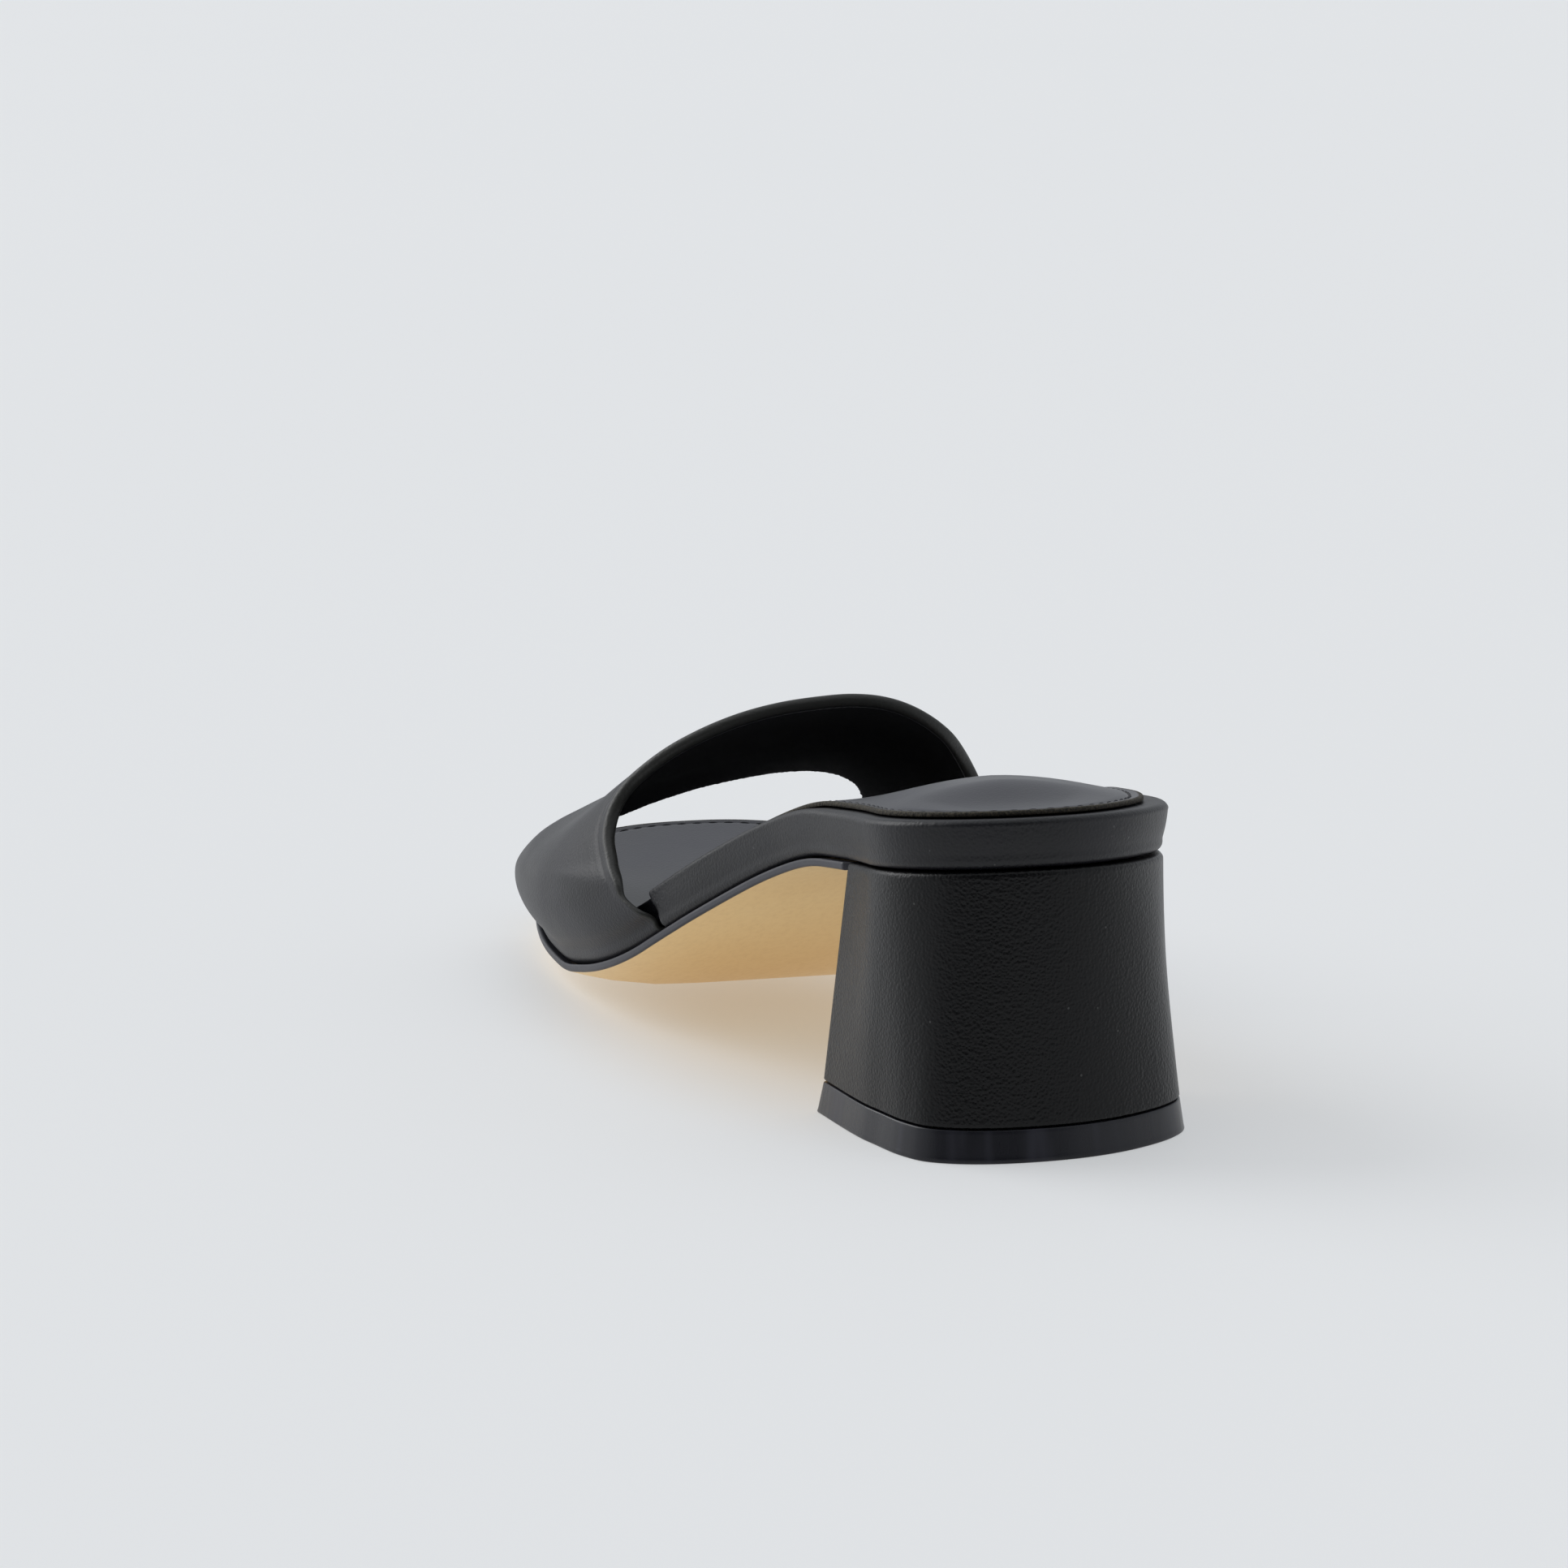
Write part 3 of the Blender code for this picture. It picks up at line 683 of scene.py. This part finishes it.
loops = [heel_loop(heel_foot(0.0, 0.5), share) for share in (0.0, 0.5, 0.85)]
for inset, height in ((0.45, 0.0), (0.2, 0.03), (0.05, 0.12), (0.0, 0.3)):
    loops.append(heel_loop(heel_foot(height, inset)))
for height in np.linspace(0.8, TOP_PIECE_THICK - 0.25, 9):
    loops.append(heel_loop(heel_foot(height, 0.8 * height / TOP_PIECE_THICK)))
for inset, height in ((0.80, 0.12), (0.88, 0.04), (1.05, 0.0)):
    loops.append(heel_loop(heel_foot(TOP_PIECE_THICK - height, inset)))
loops += [heel_loop(heel_foot(TOP_PIECE_THICK, 1.1), share) for share in (0.8, 0.5, 0.0)]
top_piece = closed_round("heel_top_piece", loops)

plastic = Finish("top_piece_plastic_black", 0.30, specular=0.36)
streaks = plastic.cloud(95.0, 3.0, 0.6, plastic.stretched(1.0, 1.0, 0.03))
scratches = plastic.cloud(700.0, 2.0, 0.6, plastic.stretched(1.0, 1.0, 0.08))
plastic.set("Base Color", plastic.blend(streaks.above(0.5, 0.68), grey(0.010), grey(0.026)))
plastic.set("Roughness", 0.27 + streaks.above(0.45, 0.7) * 0.16 + (scratches - 0.5) * 0.08)
plastic.bump(streaks * 1.5 + scratches * 0.3, 0.05)
finish_piece(top_piece, plastic.material)
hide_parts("top_piece")

# %% [markdown]
# The sock is a thin leather sheet that covers the platform almost to its rim. It is cut raw, so its edge shows
# brown fibres, and it is stitched down 1.8 mm inside that edge. Over the heel it swells into a foam pad that
# starts right behind the stitches.
# %% Padded sock
STITCH_INSET = 1.8
sock_stations = stations(0.0)
sock_base = PLATFORM_TOP + GAP


def pad_rise(station, inset, half):
    """Height of the pad at a distance in from the sock's edge."""
    along = ease(station, 0.0, 20.0) * (1 - ease(station, PAD_LENGTH - PAD_FALL, PAD_LENGTH))
    share = np.clip((half - inset) / np.maximum(half - STITCH_INSET, 0.1), 0.0, 1.0)
    return PAD_CROWN * along * np.clip(1 - share**1.75, 0.0, 1.0)


def sock_sides(inset):
    """Stations and sides of the sock; inset counts from the sock's own edge."""
    station, lateral, medial = inset_sides(sock_stations, SOCK_MARGIN + inset)
    lateral, medial = drawn_in(sock_stations, lateral, medial, sock_base)
    return station, lateral, medial


def sock_loop(inset, height, padded=True):
    """A loop of the sock, at a height and with the pad's rise."""
    station, lateral, medial = sock_sides(inset)
    half = (lateral - medial) / 2
    rise = pad_rise(sock_stations, inset, half + inset) if padded else 0.0
    return loop_of(place(station, lateral, height + rise), place(station, medial, height + rise))


def sock_cover(inset, shares):
    """Loops that close the sock's top towards the middle line."""
    station, lateral, medial = sock_sides(inset)
    middle, half = (lateral + medial) / 2, (lateral - medial) / 2
    loops = []
    for share in shares:
        height = sock_base + SOCK_THICK + pad_rise(sock_stations, inset + half * (1 - share), half + inset)
        left = place(station, middle + half * share, height)
        loops.append(loop_of(left, place(station, middle - half * share, height)))
    return loops


underside = np.full_like(sock_stations, sock_base)
loops = cover_loops((*sock_sides(0.2), underside, underside), (0.0, 0.5, 0.9))
edge_start = len(loops)
for inset, height in ((0.15, 0.0), (0.05, 0.09), (0.0, 0.28), (0.0, 0.5), (0.05, 0.68), (0.2, 0.77)):
    loops.append(sock_loop(inset, sock_base + height, False))
edge_end = len(loops)
for inset in (0.45, 0.8, 1.1, 1.35, 1.55, 1.8, 2.05, 2.3, 2.7, 3.2, 3.8, 4.6, 5.6, 7.0):
    groove = 0.28 * math.exp(-(((inset - STITCH_INSET) / 0.45) ** 2))
    loops.append(sock_loop(inset, sock_base + SOCK_THICK - groove))
loops += sock_cover(7.0, (0.9, 0.75, 0.6, 0.45, 0.3, 0.15, 0.0))
sock_pad = closed_round("sock_pad", loops)

lining = Finish("sock_smooth_leather", 0.36)
row = lining.part_of_flat("Y") * (len(loops) - 1)
raw = row.above(edge_start - 0.6, edge_start + 0.1) * (1 - row.above(edge_end + 0.1, edge_end + 0.9))
fibres = lining.cloud(2600.0, 3.0, 0.7)
tufts = lining.cells(1300.0)
tones = lining.cloud(60.0, 3.0, 0.55)
pebbles = lining.cells(2300.0, "SMOOTH_F1")
skin = lining.blend(tones.above(0.3, 0.7), grey(0.014), grey(0.022))
olive = lining.blend(fibres.above(0.38, 0.66), (0.016, 0.014, 0.010, 1.0), (0.075, 0.062, 0.040, 1.0))
lining.set("Base Color", lining.blend(raw, skin, olive))
lining.set("Roughness", 0.36 + (tones - 0.5) * 0.14 + raw * 0.45)
lining.bump(pebbles * 0.25 + raw * (fibres * 3.0 + tufts * 2.0), 0.10)
finish_piece(sock_pad, lining.material)
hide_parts("sock")

# %% [markdown]
# The stitches are black thread, one every 3.1 mm. One stitch is modelled, pressed a little into the leather at
# both ends, and then copied along the line. Each copy gets its own mesh, and they are joined into one seam.
# %% Stitches
STITCH_PITCH = 3.1
seam = sock_loop(STITCH_INSET, sock_base + SOCK_THICK - 0.16)
seam = np.vstack([seam, seam[:1]])
steps = np.concatenate([[0.0], np.cumsum(np.linalg.norm(np.diff(seam, axis=0), axis=1))])
count = int(steps[-1] / STITCH_PITCH)
deselect()
lying = (0.0, math.pi / 2, 0.0)
bpy.ops.mesh.primitive_uv_sphere_add(segments=10, ring_count=8, radius=0.5 * MM, rotation=lying)
stitch = bpy.context.object
bpy.ops.object.transform_apply(location=False, rotation=True, scale=False)
for vertex in stitch.data.vertices:
    x, y, z = vertex.co / MM
    dip = 0.16 * (abs(x) / 0.5) ** 3
    vertex.co = Vector((x * 2.15, y * 0.46, z * 0.46 - dip)) * MM
copies = []
for number in range(count):
    at = (number + 0.5) * steps[-1] / count
    spots = np.stack([np.interp([at - 0.8, at, at + 0.8], steps, seam[:, k]) for k in range(3)], axis=-1)
    along = Vector(spots[2] - spots[0]).normalized()
    across = Vector((0.0, 0.0, 1.0)).cross(along).normalized()
    turn = Matrix((along, across, along.cross(across))).transposed().to_4x4()
    copy = stitch.copy()
    copy.data = stitch.data.copy()
    copy.data.transform(Matrix.Translation(Vector(spots[1]) * MM) @ turn)
    bpy.context.scene.collection.objects.link(copy)
    copies.append(copy)
bpy.data.objects.remove(stitch)
deselect()
for copy in copies:
    copy.select_set(True)
bpy.context.view_layer.objects.active = copies[0]
bpy.ops.object.join()
stitches = bpy.context.object
stitches.name = stitches.data.name = "sock_stitches"
stitches.data.shade_smooth()
thread = Finish("black_thread", 0.62)
twist = thread.cloud(3000.0, 1.0, 0.5, thread.stretched(1.0, 1.0, 2.0))
thread.set("Base Color", thread.blend(twist.above(0.35, 0.65), grey(0.004), grey(0.016)))
thread.bump(twist, 0.05)
finish_piece(stitches, thread.material)
print("Stitches:", count)

# %% [markdown]
# The strap is the form that everyone sees first. Its outer face is worked out from five sections over the foot;
# below them each side runs down and turns in under the platform. A shoe that has been tried on has soft
# troughs where the leather bends, so they are drawn in a short table: where each starts and ends, as
# shares of the way over the foot and from the rear edge to the front, how wide it is and how deep.
# %% Strap surface
STRAP_ROWS = 110
STRAP_COLUMNS = 300
STRAP_AROUND = 175.0
STRAP_DEEP = 88.0
Crease = namedtuple("Crease", "start_over start_front end_over end_front width depth")
CREASES = [
    Crease(0.38, 0.05, 0.18, 0.62, 5.5, 0.16),
    Crease(0.31, 0.12, 0.15, 0.48, 4.2, -0.12),
    Crease(0.27, 0.20, 0.16, 0.86, 6.0, 0.12),
    Crease(0.25, 0.06, 0.14, 0.24, 3.0, -0.07),
    Crease(0.43, 0.10, 0.30, 0.88, 6.5, -0.20),
    Crease(0.55, 0.06, 0.62, 0.80, 7.0, 0.16),
    Crease(0.70, 0.05, 0.82, 0.66, 4.0, -0.18),
    Crease(0.76, 0.12, 0.88, 0.52, 2.6, 0.14),
    Crease(0.12, 0.10, 0.10, 0.80, 2.6, -0.16),
    Crease(0.14, 0.34, 0.20, 0.94, 3.0, 0.12),
    Crease(0.90, 0.12, 0.89, 0.84, 2.6, -0.15),
]


def strap_arch(share):
    """Outer line of the strap at a share of its depth, from lateral foot to medial foot."""
    last = len(STRAP_ARCHES) - 1
    Row = namedtuple("Row", ("step",) + Arch._fields)
    rows = [Row(i / last, *arch) for i, arch in enumerate(STRAP_ARCHES)]
    here = {column: float(smooth(rows, "step", column, share)) for column in Arch._fields}
    x = here["station"] * LENGTH - HEEL_CENTRE
    apex, top = here["side"] * BALL_WIDTH, here["rise"] * INSTEP
    low = here["widest"] * INSTEP
    points = []
    for half, way in ((here["lateral"], 1), (-here["medial"], -1)):
        power = 2 / here["lateral_power" if way > 0 else "medial_power"]
        turns = np.linspace(0.0, 1.0, 13) if way > 0 else np.linspace(1.0, 0.0, 12)[1:]
        for turn in turns:
            c, s = math.cos(turn * math.pi / 2), math.sin(turn * math.pi / 2)
            over = 0.5 * turn if way > 0 else 1.0 - 0.5 * turn
            side = apex + (half * BALL_WIDTH - apex) * abs(c) ** power
            points.append((over, side, low + (top - low) * s**power))
    over, y, z = np.array(points).T
    rear, front = (smooth(STRAP_SWEEP, "place", column, over) for column in ("rear", "front"))
    return np.stack([x + (rear * (1 - share) + front * share) * LENGTH, y, z], axis=-1)


def strap_foot(station, side):
    """Turned-in end of the strap, from the flange's inner edge out and up the side."""
    lateral, medial = platform_sides(station)
    edge = float(lateral if side > 0 else medial) - side * 0.5
    low = SOLE_THICK + GAP
    steps = [(FLANGE, 0.0), (FLANGE * 0.6, 0.0), (BEND, 0.0)]
    steps += [(BEND * (1 - math.sin(a)), BEND * (1 - math.cos(a))) for a in (0.5, 1.05, math.pi / 2)]
    return np.array([place(station, edge - side * inward, low + up) for inward, up in steps])


def wall(foot, widest):
    """Points between the top of a strap foot and the widest place above it."""
    rise = np.array([0.0, 0.0, widest[2] - foot[2]])
    leave = rise + np.array([0.0, WALL_FULLNESS * (widest[1] - foot[1]), 0.0])
    points = []
    for u in (0.25, 0.5, 0.75):
        start = (2 * u**3 - 3 * u**2 + 1) * foot + (u**3 - 2 * u**2 + u) * leave
        points.append(start + (3 * u**2 - 2 * u**3) * widest + (u**3 - u**2) * rise)
    return np.array(points)


def strap_line(share, columns=STRAP_COLUMNS):
    """One line over the foot, from flange to flange, in evenly spaced points."""
    arch = strap_arch(share)
    lateral = strap_foot(LATERAL_REAR + (LATERAL_FRONT - LATERAL_REAR) * share, 1)
    medial = strap_foot(MEDIAL_REAR + (MEDIAL_FRONT - MEDIAL_REAR) * share, -1)
    left, right = wall(lateral[-1], arch[0]), wall(medial[-1], arch[-1])
    line = np.concatenate([lateral, left, arch, right[::-1], medial[::-1]])
    run = np.concatenate([[0.0], np.cumsum(np.linalg.norm(np.diff(line, axis=0), axis=1))])
    return curve(run, line, np.linspace(0.0, run[-1], columns))


def outward(sheet):
    """Directions square to a sheet of points, away from the foot."""
    over = np.gradient(sheet, axis=1)
    front = np.gradient(sheet, axis=0)
    normals = np.cross(over, front)
    normals /= np.linalg.norm(normals, axis=2, keepdims=True)
    upward = normals[:, sheet.shape[1] // 2, 2].mean()
    return normals if upward > 0 else -normals


def creased(sheet):
    """Presses the creases and a slight unevenness into a sheet of points."""
    down, along = sheet.shape[:2]
    over, front = np.meshgrid(np.linspace(0, 1, along), np.linspace(0, 1, down))
    wide, deep = STRAP_AROUND, STRAP_DEEP
    relief = np.zeros((down, along))
    for crease in CREASES:
        ax, ay = crease.start_over * wide, crease.start_front * deep
        bx, by = crease.end_over * wide, crease.end_front * deep
        px, py = over * wide - ax, front * deep - ay
        length = math.hypot(bx - ax, by - ay)
        ux, uy = (bx - ax) / length, (by - ay) / length
        t = np.clip((px * ux + py * uy) / length, 0.0, 1.0)
        bow = 3.0 * np.sin(math.pi * t)
        away = np.hypot(px - t * length * ux - bow * uy, py - t * length * uy + bow * ux)
        fading = np.sin(math.pi * np.clip(t, 0.04, 0.96))
        relief -= crease.depth * np.exp(-((away / crease.width) ** 2)) * fading
    for i in range(down):
        for j in range(along):
            spot = Vector(sheet[i, j] * 0.055)
            relief[i, j] += 0.10 * noise.noise(spot) + 0.05 * noise.noise(spot * 2.7)
    on_top = ease(over, 0.075, 0.14) * (1 - ease(over, 0.87, 0.93))
    return sheet + outward(sheet) * (relief * on_top)[..., None]


rear_part = np.linspace(0, 0.1, 26)
main_part = np.linspace(0.1, 0.94, STRAP_ROWS - 40)
strap_shares = np.concatenate([rear_part, main_part[1:], np.linspace(0.94, 1, 14)[1:]])
strap_sheet = creased(np.array([strap_line(share) for share in strap_shares]))
strap_normals = outward(strap_sheet)
strap_over = np.linspace(0, 1, STRAP_COLUMNS)
steps_forward = np.linalg.norm(np.diff(strap_sheet, axis=0), axis=2)
from_rear = np.concatenate([np.zeros((1, STRAP_COLUMNS)), np.cumsum(steps_forward, axis=0)])
print("Strap sheet:", strap_sheet.shape[:2], "points")

# %% [markdown]
# The strap's leather is folded over at its rear edge into a plump, rounded band with a shallow crease beside it,
# and cut at the front. The cover is one closed shell: its outer face, the fold, its inner face and the front
# edge follow each other as rows of one grid. The suede lining is a second, thinner shell behind it, and its cut
# front edge is a little ragged.
# %% Strap leather
LEATHER = 0.95
FOLD = 2.3
FOLD_WIDE = 2.9


def shell(name, sheet, normals, thick, rear_round, front_round):
    """Closed shell from an outer sheet and a thickness at each of its points."""
    inner = sheet - normals * thick[..., None]
    rows = list(sheet)
    for index, beside, bulge in ((-1, -2, front_round), (0, 1, rear_round)):
        step = sheet[index] - sheet[beside]
        step /= np.linalg.norm(step, axis=1, keepdims=True)
        middle = (sheet[index] + inner[index]) / 2
        out = (sheet[index] - inner[index]) / 2
        half = thick[index] / 2
        arc = []
        for turn in np.linspace(0, math.pi, 9)[1:-1]:
            push = math.sin(turn) * half * bulge
            arc.append(middle + out * math.cos(turn) + step * push[:, None])
        if index < 0:
            rows += arc + list(inner[::-1])
        else:
            rows += arc[::-1] + [sheet[0]]
    piece = laid_grid(name, rows)

    def close_ends():
        bpy.ops.mesh.select_all(action="DESELECT")
        bpy.ops.mesh.select_non_manifold(extend=False)
        bpy.ops.mesh.fill(use_beauty=True)
        bpy.ops.mesh.select_all(action="SELECT")

    edit(piece, join_doubles, close_ends, face_outwards)
    piece.data.shade_smooth()
    return piece


on_arch = ease(strap_over, 0.10, 0.16) * (1 - ease(strap_over, 0.86, 0.92))
rear_start = int(np.argmax(strap_shares >= 0.009))
fold = (1 - ease(from_rear, FOLD_WIDE * 0.55, FOLD_WIDE * 1.3)) * on_arch
crease_beside = np.exp(-(((from_rear - FOLD_WIDE * 1.25) / 0.8) ** 2)) * on_arch * 0.16
raised = np.exp(-(((from_rear - FOLD_WIDE * 0.5) / 1.2) ** 2)) * on_arch * 0.10
outer = strap_sheet + strap_normals * (raised - crease_beside)[..., None]
thick = LEATHER + (FOLD - LEATHER) * fold
kept = slice(rear_start, None)
strap_cover = shell("strap_cover", outer[kept], strap_normals[kept], thick[kept], 1.0, 0.8)
sheet_rows = len(strap_shares) - rear_start
# Painted highlight: the rows of the rear fold are painted a lighter, slightly warm grey, where the fold catches
# the top light.
row = strap_leather.part_of_flat("Y") * (2 * sheet_rows + 14)
rear_fold_painted_highlight = row.above(2 * sheet_rows + 6, 2 * sheet_rows + 8)
strap_leather.set("Base Color", strap_leather.blend(rear_fold_painted_highlight, strap_leather.shade, grey(0.030, 0.92)))
finish_piece(strap_cover, strap_leather.material)
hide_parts("strap")

# %% [markdown]
# The lining starts behind the fold and ends close to the leather's cut edge at the front, where its fibres make
# a fine uneven fringe against the light.
# %% Suede lining
LINING = 0.45
LINING_COLUMNS = 900
lining_rows = np.linspace(0.028, 0.993, 40)
wide_sheet = np.array([strap_line(share, STRAP_COLUMNS) for share in lining_rows])
wide_sheet = creased(wide_sheet)
wide_normals = outward(wide_sheet)
columns = np.linspace(0, STRAP_COLUMNS - 1, LINING_COLUMNS)
low = np.clip(columns.astype(int), 0, STRAP_COLUMNS - 2)
part = (columns - low)[None, :, None]
fine_sheet = wide_sheet[:, low] * (1 - part) + wide_sheet[:, low + 1] * part
fine_normals = wide_normals[:, low] * (1 - part) + wide_normals[:, low + 1] * part
fine_sheet = fine_sheet - fine_normals * (LEATHER + 0.05)
ahead = fine_sheet[-1] - fine_sheet[-2]
ahead /= np.linalg.norm(ahead, axis=1, keepdims=True)
broad = np.array([noise.noise(Vector((at * 0.23, 3.1, 0.4))) for at in range(LINING_COLUMNS)])
fine = np.array([noise.noise(Vector((at * 0.9, 7.7, 2.0))) for at in range(LINING_COLUMNS)])
teeth = 0.5 + 0.5 * broad + 0.4 * fine
fringe = 0.85 * np.clip(teeth, 0.0, 1.0) ** 1.3
fine_sheet[-1] += ahead * fringe[:, None]
thick = np.full(fine_sheet.shape[:2], LINING)
strap_lining = shell("strap_lining", fine_sheet, fine_normals, thick, 0.6, 0.4)
suede = Finish("suede_lining_black", 0.92, specular=0.25)
nap = suede.cloud(1800.0, 3.0, 0.65)
brushed = suede.cloud(45.0, 2.0, 0.5)
suede.set("Base Color", suede.blend(brushed.above(0.3, 0.7), grey(0.006, 1.2), grey(0.010, 1.2)))
suede.set("Roughness", 0.88 + nap * 0.1)
suede.bump(nap, 0.10)
finish_piece(strap_lining, suede.material)

# %% [markdown]
# The picture was taken in a white studio: soft light from all round, and a darker place behind the camera, which
# keeps the heel's face nearly black. The floor gives some light of its own, as a light table does; under the tan
# sole its glow is painted dimmer and warmer, as painted shade from the shoe and painted light bounced off the tan
# leather. Two large soft suns give the sheen on the strap and the faint shadow on the floor.
# %% Floor, light and camera
deselect()
bpy.ops.mesh.primitive_circle_add(vertices=96, radius=30.0, fill_type="NGON", location=(0.1, 0.0, 0.0))
floor = bpy.context.object
floor.name = "studio_floor"
paper = Finish("pale_floor", 0.75, specular=0.2)
paper_dark, paper_light = (0.41, 0.418, 0.426, 1.0), (0.42, 0.426, 0.434, 1.0)
paper.set("Base Color", paper.blend(paper.cloud(0.6), paper_dark, paper_light))
# Painted shade and painted bounce light: the floor's glow is dimmer and warmer under the tan sole.
SOLE_SHADE_AND_BOUNCE, COOL = (0.80, 0.70, 0.57, 1.0), (0.975, 0.99, 1.0, 1.0)
spot = {0: paper.stretched(9.0, 19.0, 0.0), 1: (-0.14, 0.15, 0.0)}
from_sole = paper.node("ShaderNodeVectorMath", {"operation": "DISTANCE"}, spot, "Value")
paper.set("Emission Color", paper.blend(from_sole.above(0.2, 1.0), SOLE_SHADE_AND_BOUNCE, COOL))
paper.set("Emission Strength", 0.42)
floor.data.materials.append(paper.material)

CAMERA_PLACE = Vector((-0.8312, 0.2996, 0.1962))
CAMERA_AIM = Vector((0.9421, -0.2964, -0.1570))
eye = bpy.data.cameras.new("camera")
eye.lens = 130.167
eye.sensor_width = 36.0
eye.clip_start = 0.01
eye.clip_end = 200.0
camera = bpy.data.objects.new("camera", eye)
bpy.context.scene.collection.objects.link(camera)
camera.location = CAMERA_PLACE
camera.rotation_euler = CAMERA_AIM.to_track_quat("-Z", "Y").to_euler()
bpy.context.scene.camera = camera

world = bpy.data.worlds.new("studio")
bpy.context.scene.world = world
world.use_nodes = True
tree = world.node_tree
direction = tree.nodes.new("ShaderNodeTexCoord")
towards = tree.nodes.new("ShaderNodeVectorMath")
towards.operation = "DOT_PRODUCT"
towards.inputs[1].default_value = Vector((-0.95, 0.30, 0.05)).normalized()
tree.links.new(direction.outputs["Generated"], towards.inputs[0])
# The dark place behind the camera
wall_shade = tree.nodes.new("ShaderNodeMapRange")
wall_shade.interpolation_type = "SMOOTHSTEP"
wall_shade.inputs["From Min"].default_value = 0.48
wall_shade.inputs["From Max"].default_value = 0.80
wall_shade.inputs["To Min"].default_value = 0.56
wall_shade.inputs["To Max"].default_value = 0.03
tree.links.new(towards.outputs["Value"], wall_shade.inputs["Value"])
background = tree.nodes["Background"]
background.inputs["Color"].default_value = (0.93, 0.97, 1.02, 1.0)
tree.links.new(wall_shade.outputs["Result"], background.inputs["Strength"])

Sun = namedtuple("Sun", "name aim strength spread")
SUNS = [
    Sun("left_window", (-0.60, -0.62, -0.50), 1.45, 50.0),
    Sun("top_window", (-0.15, 0.10, -1.0), 0.30, 70.0),
]
for sun in SUNS:
    light = bpy.data.lights.new(sun.name, "SUN")
    light.energy = sun.strength
    light.angle = math.radians(sun.spread)
    lamp = bpy.data.objects.new(sun.name, light)
    bpy.context.scene.collection.objects.link(lamp)
    lamp.rotation_euler = Vector(sun.aim).to_track_quat("-Z", "Y").to_euler()
bpy.context.scene.view_settings.view_transform = "Standard"
print("Lights:", [sun.name for sun in SUNS])
